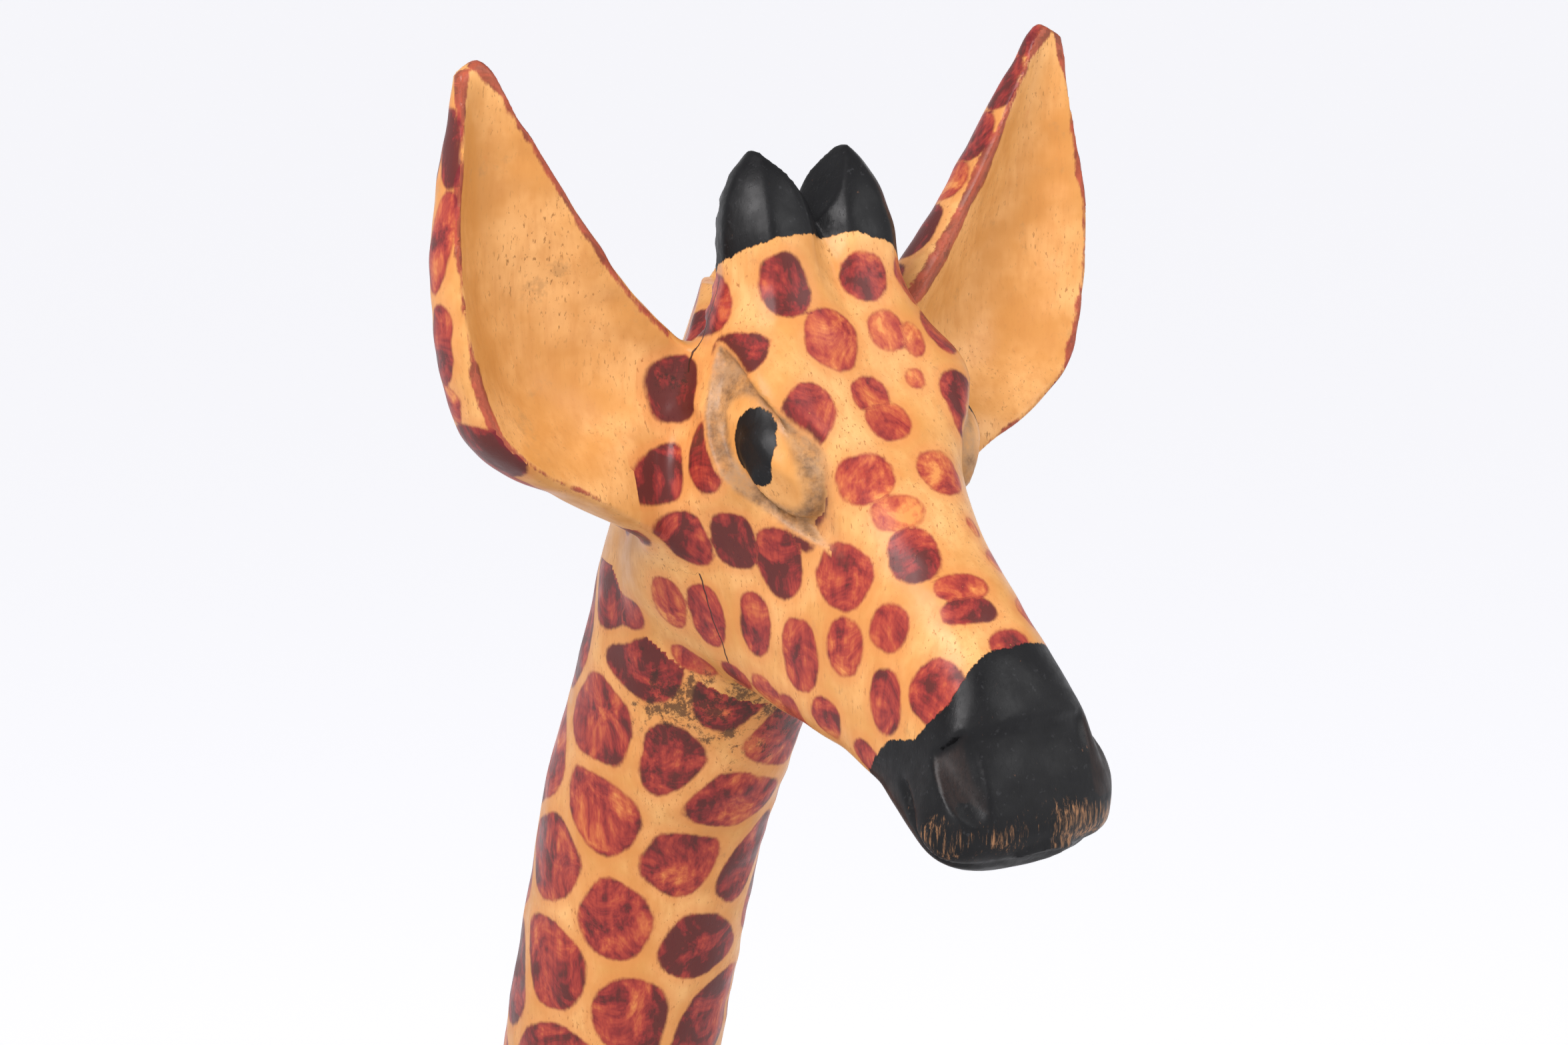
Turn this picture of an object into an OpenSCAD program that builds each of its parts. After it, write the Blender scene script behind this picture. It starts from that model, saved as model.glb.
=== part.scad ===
// Carved and painted wooden giraffe that stands on its own four legs.
// The giraffe looks along -Y, +X is its left side, and the origin lies on the
// floor under the middle of the bounding box.

/* [Size] */
// Height from the soles to the ear tips
statue_height = 1220; // [610:10:1830]
// Extra distance from each foot to the middle plane
foot_spread = 0; // [-6:1:10]

/* [Head] */
// Height of the horn tips above the crease between them
horn_rise = 15; // [10:1:20]
// Distance from the middle plane to the tip of each horn
horn_spread = 13; // [11:0.5:15]
// Depth of the almond hollow around each eye
socket_depth = 5; // [2:0.5:7]
// Radius that each eyeball is rounded to
eyeball_r = 16; // [13:1:20]
// Distance from the middle plane to the outside of each eyeball
eye_reach = 35; // [34:0.25:36]
// Height of the mouth groove
mouth_gap = 1.6; // [1:0.1:2.5]

/* [Ears] */
// Length of each ear from the middle of its root to its tip
ear_length = 111; // [90:1:120]
// Depth of the scoop at the front of each ear, as a share of the full depth
ear_scoop = 1; // [0.4:0.1:1]
// Distance from the middle plane to the face where each ear is glued on
ear_seat = 39; // [38.6:0.2:41]

/* [Tail] */
// Drop of the tail from the rump to its tip
tail_drop = 235; // [160:5:280]

/* [Pegs] */
// Diameter of the dowel between the neck and the body
neck_dowel_d = 24; // [16:1:28]
// Length of the neck dowel
neck_dowel_l = 96; // [60:2:110]
// Diameter of the dowel in each leg
leg_dowel_d = 12; // [8:1:16]
// Length of each leg dowel
leg_dowel_l = 60; // [40:2:70]
// Diameter of the peg in each ear
ear_peg_d = 8; // [5:0.5:9]
// Length of each ear peg
ear_peg_l = 24; // [18:1:26]
// Diameter of the tail peg
tail_peg_d = 6; // [4:0.5:7]
// Length of the tail peg
tail_peg_l = 30; // [24:1:34]
// Glue room around each dowel and peg, on the radius
glue_gap = 0.05; // [0.03:0.01:0.1]

/* [Fineness] */
// Points around the head
head_points = 40; // [24:4:44]
// Cross sections along the head
head_steps = 40; // [24:2:44]
// Points around the neck, the body and the ears
round_points = 28; // [20:4:32]
// Points around each leg and the tail
leg_points = 20; // [16:4:24]

/* [Hidden] */

ochre = [0.84, 0.62, 0.30];
rust = [0.62, 0.25, 0.15];
black = [0.08, 0.08, 0.09];
bare_wood = [0.80, 0.66, 0.46];

// The shapes are drawn at this height and scaled to statue_height.
drawn_height = 1220;
k = statue_height / drawn_height;

// The crease between the horns, which the head, ears and neck are placed from.
poll = [0, -166, 1180];
c45 = sqrt(0.5);

// The head runs forward and down at 45 degrees from this point below the poll.
head_start = [0, 14, -40];
// Along the head: distance, half width, top, bottom, height of the widest line,
// and how square the upper and the lower half are (2 is an ellipse).
head_rows = [
    [-28, 6, 20, 0, 8, 2.2, 2.2],
    [-24, 13, 26, -14, 6, 2.2, 2.2],
    [-14, 20, 33, -34, 4, 2.4, 2.4],
    [0, 26.5, 37, -49, 0, 2.8, 2.8],
    [16, 34, 36, -61, -1, 3.6, 3.0],
    [28, 38.5, 34, -66, -1, 4.4, 3.4],
    [38, 38, 32, -66, -3, 4.0, 3.4],
    [50, 31, 30.5, -62, -11, 3.0, 3.4],
    [64, 26, 29.5, -54, -16, 2.5, 3.4],
    [80, 24, 28.5, -43, -14, 2.4, 3.4],
    [98, 22.5, 28, -31, -7, 2.5, 3.4],
    [116, 22.5, 26.5, -21, -2, 2.8, 3.4],
    [124, 23, 24, -17, 0, 3.0, 3.4],
    [134, 24.5, 19, -14, 1, 3.0, 3.2],
    [144, 25.5, 12, -10, 2, 3.0, 3.0],
    [150, 24, 8, -7, 2, 2.6, 2.6],
    [155, 16, 5, -2, 2, 2.2, 2.2]
];
// The eye: distance along the head and height, the half length and half height of
// its almond hollow.
eye_at = [37, 19];
almond_half = [29, 10.5];

// Along the neck, from inside the body: back, up, half width, half depth, all
// from the poll. Its lowest rows are the stump that the body keeps.
neck_rows = [
    [196, -690, 34, 56],
    [180, -640, 50, 66],
    [165, -600, 46, 58],
    [152, -556, 42, 51],
    [140, -505, 38, 45],
    [127, -448, 34.5, 39.5],
    [113, -380, 31.5, 35],
    [98, -308, 30, 32.5],
    [86, -250, 29.5, 32],
    [72, -200, 29.5, 32],
    [62, -168, 30, 32],
    [48, -138, 30, 33],
    [32, -98, 30, 34],
    [21, -66, 28, 31],
    [16, -48, 24, 26],
    [13, -36, 17, 18],
    [12, -30, 8, 8]
];
// The face where the neck is glued on the body, and its tilt.
neck_foot = poll + [0, 152, -556];
neck_lean = 15;

// The left ear: its root, its long axis and the direction across it.
ear_root = poll + [37, 8, -58];
ear_lean = [54, 2, 97];
ear_axis = ear_lean / norm(ear_lean);
ear_facing = [-sin(5), -cos(5), 0];
ear_across = cross(ear_axis, ear_facing) / norm(cross(ear_axis, ear_facing));
ear_front = cross(ear_across, ear_axis);
// Along the ear, as a share of its length: outer edge, inner edge, back, rim, scoop.
ear_rows = [
    [-0.19, 14, -2, 9, 6, 0],
    [-0.08, 22, -14, 12, 8, 0],
    [0.06, 32, -18, 16, 9, 5],
    [0.18, 41, -17, 19, 9, 12],
    [0.32, 46.5, -12, 19, 8, 15],
    [0.50, 42, -8, 17, 7, 14],
    [0.67, 33, -6, 14, 6, 11],
    [0.80, 23, -5, 11, 5, 8],
    [0.90, 14, -4, 7, 4, 4],
    [0.97, 6, -3, 3, 3, 1],
    [1.00, 2, -1, 1, 1, 0]
];
ear_peg_at = poll + [ear_seat, 12, -57];

// Along the body, front to back: distance behind the poll, half width, top, bottom.
body_rows = [
    [88, 12, -655, -690],
    [94, 25, -638, -706],
    [106, 40, -614, -726],
    [124, 51, -592, -742],
    [150, 57, -578, -752],
    [190, 59, -576, -755],
    [240, 59, -586, -752],
    [290, 58, -598, -745],
    [335, 56, -612, -738],
    [368, 49, -628, -732],
    [386, 37, -642, -724],
    [396, 22, -656, -712],
    [400, 10, -666, -702]
];
// Legs are given outward, back and up from the poll, then the two half sizes.
leg_seat = -792;
front_thigh_rows = [
    [24, 150, -625, 24, 28],
    [33, 149, -668, 28.5, 38],
    [35, 146, -712, 27, 39],
    [36, 141, -755, 23.5, 32],
    [36, 136, leg_seat, 21, 26]
];
rear_thigh_rows = [
    [22, 328, -636, 24, 38],
    [32, 336, -676, 28.5, 50],
    [34, 346, -716, 27, 47],
    [34, 355, -756, 24, 37],
    [34, 362, leg_seat, 22, 30]
];
front_leg_rows = [
    [36, 136, leg_seat, 21, 26],
    [37, 134, -860, 17, 20],
    [38, 132, -930, 15, 17],
    [38, 129, -962, 16.5, 18.5],
    [38.5, 131, -1000, 14, 15.5],
    [39.5, 132, -1080, 13, 14],
    [40, 130, -1128, 14.5, 15.5],
    [40, 128, -1143, 13.5, 15],
    [40, 127.5, -1148, 15.5, 17.5],
    [40, 127, -1153, 17, 19.5],
    [40.5, 124, -1180, 19, 24.5]
];
rear_leg_rows = [
    [34, 362, leg_seat, 22, 30],
    [35, 372, -850, 17, 21],
    [36, 382, -905, 15.5, 18.5],
    [36.5, 380, -940, 14, 15.5],
    [38, 374, -1040, 13, 14],
    [39, 368, -1125, 14.5, 15.5],
    [39, 366, -1143, 13.5, 15],
    [39.2, 365.5, -1148, 15.5, 17.5],
    [39.5, 365, -1153, 17, 19.5],
    [40, 361, -1180, 19, 24.5]
];

// The tail leaves a flat seat on the rump and bends down. Its rows are like the
// neck's, with the height as a share of the drop.
tail_seat = 400;
tail_at = -682;
tail_rows = [
    [392, 0, 8, 8],
    [402, 0, 8, 8],
    [411, -0.025, 7.5, 7.5],
    [417, -0.09, 7, 7],
    [419.5, -0.2, 6, 6],
    [420.5, -0.42, 5, 5],
    [420, -0.66, 5, 5],
    [418.5, -0.78, 7.5, 7.5],
    [417, -0.9, 7, 7],
    [416, -1, 2.5, 2.5]
];

// ---- curves through rows ----

function row_of(rows, x, i = 0) =
    i >= len(rows) - 2 || x < rows[i + 1][0] ? i : row_of(rows, x, i + 1);

function slope(rows, i, c) =
    let (a = max(i - 1, 0), b = min(i + 1, len(rows) - 1))
    (rows[b][c] - rows[a][c]) / (rows[b][0] - rows[a][0]);

// A smooth curve through column c of the rows, at x in column 0.
function curve(rows, x, c) =
    let (i = row_of(rows, x))
    let (h = rows[i + 1][0] - rows[i][0])
    let (s = (x - rows[i][0]) / h)
    (1 + 2 * s) * pow(1 - s, 2) * rows[i][c]
    + s * pow(1 - s, 2) * h * slope(rows, i, c)
    + s * s * (3 - 2 * s) * rows[i + 1][c]
    + s * s * (s - 1) * h * slope(rows, i + 1, c);

// The same rows with their own number put in front, to run a curve along them.
function numbered(rows) = [for (i = [0:len(rows) - 1]) concat([i], rows[i])];

// An ellipse coordinate made squarer as p rises above 2.
function squared(v, p) = sign(v) * pow(abs(v), 2 / p);

// ---- solids through rings of points ----

// Joins rings with equal numbers of points and closes both ends flat.
module loft(rings) {
    n = len(rings[0]);
    last = len(rings) - 1;
    sides = [
        for (i = [0:last - 1], j = [0:n - 1])
            let (a = i * n + j, b = i * n + (j + 1) % n)
            each [[a, b, b + n], [a, b + n, a + n]]
    ];
    first_cap = [[for (j = [n - 1:-1:0]) j]];
    last_cap = [[for (j = [0:n - 1]) last * n + j]];
    polyhedron(concat([for (r = rings) each r]), concat(sides, first_cap, last_cap), convexity = 6);
}

// A level ring: middle, half width and half depth.
function level_ring(middle, half_x, half_y, n) = [
    for (j = [0:n - 1])
        let (a = 360 * j / n)
        middle + [half_x * cos(a), half_y * sin(a), 0]
];

// Rings through outward, back, up and two half sizes, on one side of the giraffe.
function limb_rings(rows, side, spread, steps, n) =
    let (r = numbered(rows), top = rows[0][2], foot = rows[len(rows) - 1][2])
    [
        for (i = [0:steps])
            let (x = i * (len(rows) - 1) / steps)
            let (z = curve(r, x, 3))
            let (out = curve(r, x, 1) + spread * (top - z) / (top - foot))
            level_ring(poll + [side * out, curve(r, x, 2), z], curve(r, x, 4), curve(r, x, 5), n)
    ];

// Rings square to a curve in the middle plane, through back, up and half sizes.
function spine_rings(rows, steps, n) =
    let (r = numbered(rows), count = len(rows) - 1)
    [
        for (i = [0:steps])
            let (x = i * count / steps)
            let (x0 = max(x - 0.05, 0), x1 = min(x + 0.05, count))
            let (dy = curve(r, x1, 1) - curve(r, x0, 1), dz = curve(r, x1, 2) - curve(r, x0, 2))
            let (along = norm([dy, dz]), middle = poll + [0, curve(r, x, 1), curve(r, x, 2)])
            [
                for (j = [0:n - 1])
                    let (a = 360 * j / n)
                    let (across = curve(r, x, 4) * cos(a))
                    middle + [curve(r, x, 3) * sin(a), across * dz / along, -across * dy / along]
            ]
    ];

// ---- head and neck ----

// A point of the head from its distance along, its side and its height.
function head_point(along, side, up) =
    poll + head_start + [side, -c45 * (along + up), c45 * (up - along)];

function head_ring(along, inset) =
    let (w = max(curve(head_rows, along, 1) - inset, 1), top = curve(head_rows, along, 2))
    let (bottom = curve(head_rows, along, 3), wide = curve(head_rows, along, 4))
    let (upper = curve(head_rows, along, 5), lower = curve(head_rows, along, 6))
    [
        for (j = [0:head_points - 1])
            let (a = 360 * j / head_points, p = cos(a) >= 0 ? upper : lower)
            let (reach = cos(a) >= 0 ? top - wide : wide - bottom)
            head_point(along, w * squared(sin(a), p), wide + reach * squared(cos(a), p))
    ];

module head_block(inset = 0) {
    from = head_rows[0][0];
    to = head_rows[len(head_rows) - 1][0];
    loft([for (i = [0:head_steps]) head_ring(from + (to - from) * i / head_steps, inset)]);
}

module horn(side) {
    foot = [side * 12.5, -4, -16];
    tip = [side * horn_spread, 0, horn_rise];
    horn_foot_r = 14;
    horn_tip_r = 1.2;
    steps = 8;
    loft([
        for (i = [0:steps])
            let (s = 1 - i / steps)
            let (r = horn_foot_r + (horn_tip_r - horn_foot_r) * pow(s, 2.2))
            level_ring(poll + foot + (tip - foot) * s, r, r, 16)
    ]);
}

// The back of the right horn is split off along the grain.
module horn_split() {
    translate(poll + [-30, 4.5, -20])
        rotate([-6, 0, 10])
            cube([24, 20, 40]);
}

// The almond around an eye: what two round cuts have in common, pointed at both
// corners and a little lower at the front.
module almond(side) {
    r = (almond_half[0] ^ 2 + almond_half[1] ^ 2) / (2 * almond_half[1]);
    reach = 24;
    tilt = 8;
    intersection_for (lid = [-1, 1])
        translate(head_point(eye_at[0], side * eye_reach, eye_at[1]))
            rotate([45 + tilt, 0, 0])
                translate([0, 0, lid * (r - almond_half[1])])
                    rotate([0, 90, 0])
                        cylinder(r = r, h = 2 * reach, center = true, $fn = 96);
}

// Both hollows, whose floors follow the face at an even depth.
module eye_hollows() {
    difference() {
        union() {
            almond(-1);
            almond(1);
        }
        head_block(socket_depth);
    }
}

module eyeball(side) {
    translate(head_point(eye_at[0], side * (eye_reach - eyeball_r), eye_at[1]))
        sphere(eyeball_r, $fn = 64);
}

// Two scoops for the nostrils, leaving a flat between them.
module nostrils() {
    for (side = [-1, 1])
        translate(head_point(129, side * 27, 19))
            sphere(12, $fn = 48);
}

// The groove between the lips, on the left half of the muzzle.
module mouth() {
    translate(head_point(143, 26, 2))
        rotate([8, 0, -24])
            cube([14, 26, mouth_gap], center = true);
}

module neck_block() {
    loft(spine_rings(neck_rows, 38, round_points));
}

// The half space below the glued face of the neck.
module below_neck() {
    reach = 300;
    translate(neck_foot)
        rotate([neck_lean, 0, 0])
            translate([0, 0, -reach / 2])
                cube(reach, center = true);
}

module neck_bore() {
    translate(neck_foot)
        rotate([neck_lean, 0, 0])
            cylinder(d = neck_dowel_d + 2 * glue_gap, h = neck_dowel_l + 2, center = true, $fn = 64);
}

module head_and_neck() {
    color(ochre)
        difference() {
            union() {
                difference() {
                    union() {
                        head_block();
                        neck_block();
                        for (side = [-1, 1])
                            horn(side);
                        for (side = [-1, 1])
                            ear_boss(side);
                    }
                    eye_hollows();
                }
                for (side = [-1, 1])
                    eyeball(side);
            }
            below_neck();
            horn_split();
            nostrils();
            mouth();
            neck_bore();
            for (side = [-1, 1])
                ear_bore(side);
        }
}

// ---- ears ----

// One ring of the left ear: a round back, a rim and a scooped front.
function ear_ring(share) =
    let (outer = curve(ear_rows, share, 1), inner = curve(ear_rows, share, 2))
    let (back = curve(ear_rows, share, 3), rim = curve(ear_rows, share, 4))
    let (scoop = curve(ear_rows, share, 5) * ear_scoop)
    let (middle = ear_root + ear_axis * share * ear_length)
    [
        for (j = [0:round_points - 1])
            let (a = 360 * j / round_points)
            let (across = (outer + inner) / 2 + (outer - inner) / 2 * cos(a))
            let (front = rim * min(1, 2.4 * sin(a)) - scoop * pow(sin(a), 3))
            middle + ear_across * across + ear_front * (sin(a) < 0 ? back * squared(sin(a), 2.8) : front)
    ];

module ear_block(side) {
    from = ear_rows[0][0];
    steps = 18;
    mirror([side < 0 ? 1 : 0, 0, 0])
        loft([for (i = [0:steps]) ear_ring(from + (1 - from) * i / steps)]);
}

// The half space on the head's side of an ear's glued face.
module head_side(side) {
    reach = 200;
    translate(poll + [side * (ear_seat - reach / 2), 0, 0])
        cube(reach, center = true);
}

module ear_boss(side) {
    intersection() {
        ear_block(side);
        head_side(side);
    }
}

module ear_bore(side) {
    translate([side * ear_peg_at[0], ear_peg_at[1], ear_peg_at[2]])
        rotate([0, 90, 0])
            cylinder(d = ear_peg_d + 2 * glue_gap, h = ear_peg_l + 2, center = true, $fn = 48);
}

module ear(side) {
    color(ochre)
        difference() {
            ear_block(side);
            head_side(side);
            ear_bore(side);
        }
}

module ear_peg(side) {
    color(bare_wood)
        translate([side * ear_peg_at[0], ear_peg_at[1], ear_peg_at[2]])
            rotate([0, 90, 0])
                cylinder(d = ear_peg_d, h = ear_peg_l, center = true, $fn = 48);
}

// ---- body ----

module body_block() {
    n = round_points + 4;
    steps = 20;
    r = numbered(body_rows);
    loft([
        for (i = [0:steps])
            let (x = i * (len(body_rows) - 1) / steps)
            let (top = curve(r, x, 3), bottom = curve(r, x, 4), half = curve(r, x, 2))
            [
                for (j = [0:n - 1])
                    let (a = -360 * j / n)
                    poll + [
                        half * squared(sin(a), 2.3),
                        curve(r, x, 1),
                        (top + bottom) / 2 + (top - bottom) / 2 * squared(cos(a), 2.3)
                    ]
            ]
    ]);
}

module thigh(rows, side) {
    loft(limb_rings(rows, side, 0, 6, leg_points));
}

module leg_bore(rows, side) {
    translate(poll + [side * rows[0][0], rows[0][1], leg_seat])
        cylinder(d = leg_dowel_d + 2 * glue_gap, h = leg_dowel_l + 2, center = true, $fn = 48);
}

module tail_bore() {
    translate(poll + [0, tail_seat, tail_at])
        rotate([90, 0, 0])
            cylinder(d = tail_peg_d + 2 * glue_gap, h = tail_peg_l + 1, center = true, $fn = 48);
}

module body() {
    color(rust)
        difference() {
            union() {
                body_block();
                intersection() {
                    neck_block();
                    below_neck();
                }
                for (side = [-1, 1]) {
                    thigh(front_thigh_rows, side);
                    thigh(rear_thigh_rows, side);
                }
            }
            neck_bore();
            for (side = [-1, 1]) {
                leg_bore(front_leg_rows, side);
                leg_bore(rear_leg_rows, side);
            }
            tail_bore();
        }
}

module neck_dowel() {
    color(bare_wood)
        translate(neck_foot)
            rotate([neck_lean, 0, 0])
                cylinder(d = neck_dowel_d, h = neck_dowel_l, center = true, $fn = 64);
}

// ---- legs ----

module leg(rows, side) {
    color(ochre)
        difference() {
            loft(limb_rings(rows, side, foot_spread, 22, leg_points));
            leg_bore(rows, side);
        }
}

module leg_dowel(rows, side) {
    color(bare_wood)
        translate(poll + [side * rows[0][0], rows[0][1], leg_seat])
            cylinder(d = leg_dowel_d, h = leg_dowel_l, center = true, $fn = 48);
}

// ---- tail ----

module tail() {
    rows = [for (r = tail_rows) [r[0], tail_at + tail_drop * r[1], r[2], r[3]]];
    reach = 60;
    color(black)
        difference() {
            loft(spine_rings(rows, 24, leg_points));
            translate(poll + [0, tail_seat - reach / 2, tail_at])
                cube(reach, center = true);
            tail_bore();
        }
}

module tail_peg() {
    color(bare_wood)
        translate(poll + [0, tail_seat, tail_at])
            rotate([90, 0, 0])
                cylinder(d = tail_peg_d, h = tail_peg_l, center = true, $fn = 48);
}

scale(k) head_and_neck();
scale(k) ear(1);  // left_ear
scale(k) ear(-1);  // right_ear
scale(k) ear_peg(1);  // left_ear_peg
scale(k) ear_peg(-1);  // right_ear_peg
scale(k) neck_dowel();
scale(k) body();
scale(k) leg(front_leg_rows, 1);  // front_left_leg
scale(k) leg(front_leg_rows, -1);  // front_right_leg
scale(k) leg(rear_leg_rows, 1);  // rear_left_leg
scale(k) leg(rear_leg_rows, -1);  // rear_right_leg
scale(k) leg_dowel(front_leg_rows, 1);  // front_left_dowel
scale(k) leg_dowel(front_leg_rows, -1);  // front_right_dowel
scale(k) leg_dowel(rear_leg_rows, 1);  // rear_left_dowel
scale(k) leg_dowel(rear_leg_rows, -1);  // rear_right_dowel
scale(k) tail();
scale(k) tail_peg();
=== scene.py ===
import math

import bmesh
import bpy
import numpy as np
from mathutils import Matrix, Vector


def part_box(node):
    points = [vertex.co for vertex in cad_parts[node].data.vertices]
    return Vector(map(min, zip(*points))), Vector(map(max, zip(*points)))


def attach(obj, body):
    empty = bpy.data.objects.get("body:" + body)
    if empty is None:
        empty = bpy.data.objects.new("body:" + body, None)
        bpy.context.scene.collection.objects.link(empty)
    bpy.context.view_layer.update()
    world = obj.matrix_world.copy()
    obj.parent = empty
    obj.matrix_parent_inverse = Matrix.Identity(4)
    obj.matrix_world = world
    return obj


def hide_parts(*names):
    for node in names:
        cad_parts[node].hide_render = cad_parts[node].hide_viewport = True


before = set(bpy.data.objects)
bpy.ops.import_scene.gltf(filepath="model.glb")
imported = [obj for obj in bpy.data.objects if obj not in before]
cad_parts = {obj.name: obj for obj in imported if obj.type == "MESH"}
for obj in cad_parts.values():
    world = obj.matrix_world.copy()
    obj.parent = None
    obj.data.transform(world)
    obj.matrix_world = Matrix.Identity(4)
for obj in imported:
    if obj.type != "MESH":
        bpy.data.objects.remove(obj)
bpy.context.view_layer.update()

import openvdb
from mathutils import Vector

COARSE = 1.0

# ---------------------------------------------------------------- shared shape
# Everything below is in millimetres until a mesh is made. The poll is the
# crease between the horns; the CAD places the head, neck and ears from it.
HORN_RISE = 15.0
head_lo, head_hi = (np.array(corner) * 1000 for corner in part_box("head_and_neck"))
POLL = np.array([0.0, head_lo[1] + 99.1, head_hi[2] - HORN_RISE])
HEAD = POLL + (0, 14, -40)
C45 = math.sqrt(0.5)
EAR_SEAT = 39.0  # from the middle plane to each ear's glued face
NECK_TOP = 165  # how far below the poll the head's fine grid ends

# Along the head: distance, half width, top, bottom, widest height, squareness above and
# below. The muzzle is a little shorter and deeper than the plainer CAD one.
HEAD_ROWS = np.array([
    [-28, 6, 20, 0, 8, 2.2, 2.2], [-24, 13, 26, -14, 6, 2.2, 2.2],
    [-14, 20, 33, -34, 4, 2.4, 2.4], [0, 26.5, 37, -49, 0, 2.8, 2.8],
    [16, 34, 36, -61, -1, 3.6, 3.0], [28, 38.5, 34, -66, -1, 4.4, 3.4],
    [38, 38, 32, -66, -3, 4.0, 3.4], [50, 31, 30.5, -62, -11, 3.0, 3.4],
    [64, 26, 29.5, -54, -16, 2.5, 3.4], [80, 24, 28.5, -43, -14, 2.4, 3.4],
    [98, 22.5, 28, -31, -7, 2.5, 3.4], [116, 22.5, 26.5, -21, -2, 2.8, 3.4],
    [124, 23.5, 24, -20.5, 0, 3.0, 3.0], [133, 25.5, 19, -17.8, 0, 2.9, 2.7],
    [141, 26.5, 14, -15, 0, 2.7, 2.5], [146.5, 24.5, 11, -12, 0, 2.4, 2.3],
    [150, 19, 8, -8.5, -0.5, 2.1, 2.1], [152, 10, 4, -4.5, -0.5, 2, 2]])
# Along the neck: back, up, half width, half depth.
NECK_ROWS = np.array([
    [196, -690, 34, 56], [180, -640, 50, 66], [165, -600, 46, 58],
    [152, -556, 42, 51], [140, -505, 38, 45], [127, -448, 34.5, 39.5],
    [113, -380, 31.5, 35], [98, -308, 30, 32.5], [86, -250, 29.5, 32],
    [72, -200, 29.5, 32], [62, -168, 30, 32], [48, -138, 30, 33],
    [32, -98, 30, 34], [21, -66, 28, 31], [16, -48, 24, 26],
    [13, -36, 17, 18], [12, -30, 8, 8]])
NECK_FOOT = POLL + (0, 152, -556)
NECK_LEAN = math.radians(15)
# Along the ear: share, outer edge, inner edge, back, rim, scoop.
EAR_ROWS = np.array([
    [-0.19, 14, -2, 9, 6, 0], [-0.08, 22, -14, 12, 8, 0],
    [0.06, 32, -18, 16, 9, 5], [0.18, 41, -17, 19, 9, 12],
    [0.32, 46.5, -12, 19, 8, 15], [0.50, 42, -8, 17, 7, 14],
    [0.67, 33, -6, 14, 6, 11], [0.80, 23, -5, 11, 5, 8],
    [0.90, 14, -4, 7, 4, 4], [0.97, 8.5, -4, 4.5, 3, 1], [1.01, 5, -2.8, 2.5, 2, 0]])
EAR_LENGTH = 111.0
EAR_ROOT = POLL + (37, 8, -58)
EAR_AXIS = np.array([54, 2, 97]) / np.linalg.norm([54, 2, 97])
EAR_ACROSS = np.cross(EAR_AXIS, [-math.sin(math.radians(5)), -math.cos(math.radians(5)), 0])
EAR_ACROSS /= np.linalg.norm(EAR_ACROSS)
EAR_FRONT = np.cross(EAR_ACROSS, EAR_AXIS)
# Along the body: back, half width, top, bottom.
BODY_ROWS = np.array([
    [88, 12, -655, -690], [94, 25, -638, -706], [106, 40, -614, -726],
    [124, 51, -592, -742], [150, 57, -578, -752], [190, 59, -576, -755],
    [240, 59, -586, -752], [290, 58, -598, -745], [335, 56, -612, -738],
    [368, 49, -628, -732], [386, 37, -642, -724], [396, 22, -656, -712],
    [400, 10, -666, -702]])
# Legs: up, outward, back, half width, half depth.
LEG_SEAT = -792
HOOF = -1146
FRONT_THIGH = np.array([
    [LEG_SEAT, 36, 136, 21, 26], [-755, 36, 141, 23.5, 32],
    [-712, 35, 146, 27, 39], [-668, 33, 149, 28.5, 38], [-625, 24, 150, 24, 28]])
REAR_THIGH = np.array([
    [LEG_SEAT, 34, 362, 22, 30], [-756, 34, 355, 24, 37],
    [-716, 34, 346, 27, 47], [-676, 32, 336, 28.5, 50], [-636, 22, 328, 24, 38]])
FRONT_LEG = np.array([
    [LEG_SEAT, 36, 136, 21, 26], [-860, 37, 134, 17, 20],
    [-930, 38, 132, 15, 17], [-962, 38, 129, 16.5, 18.5],
    [-1000, 38.5, 131, 14, 15.5], [-1080, 39.5, 132, 13, 14],
    [-1128, 40, 130, 14.5, 15.5], [-1143, 40, 128, 13.5, 15],
    [-1148, 40, 127.5, 15.5, 17.5], [-1153, 40, 127, 17, 19.5],
    [-1180, 40.5, 124, 19, 24.5]])
REAR_LEG = np.array([
    [LEG_SEAT, 34, 362, 22, 30], [-850, 35, 372, 17, 21],
    [-905, 36, 382, 15.5, 18.5], [-940, 36.5, 380, 14, 15.5],
    [-1040, 38, 374, 13, 14], [-1125, 39, 368, 14.5, 15.5],
    [-1143, 39, 366, 13.5, 15], [-1148, 39.2, 365.5, 15.5, 17.5],
    [-1153, 39.5, 365, 17, 19.5], [-1180, 40, 361, 19, 24.5]])
TAIL_SEAT = 400
TAIL_AT = -682
TAIL_DROP = 235
# Along the tail: back, share of the drop, two half sizes.
TAIL_ROWS = np.array([
    [400, 0, 8, 8], [402, 0, 8, 8], [411, -0.025, 7.5, 7.5],
    [417, -0.09, 7, 7], [419.5, -0.2, 6, 6], [420.5, -0.42, 5, 5],
    [420, -0.66, 5, 5], [418.5, -0.78, 7.5, 7.5], [417, -0.9, 7, 7],
    [416, -1, 2.5, 2.5]])
HORN_PAINT = 13.12  # how far the black runs down the front of the poll
EYE = (37, 35, 19)
ALMOND = (31.0, 11.0)
ALMOND_SHIFT = (2.5, -1.0)
ALMOND_TILT = math.radians(53)


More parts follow.
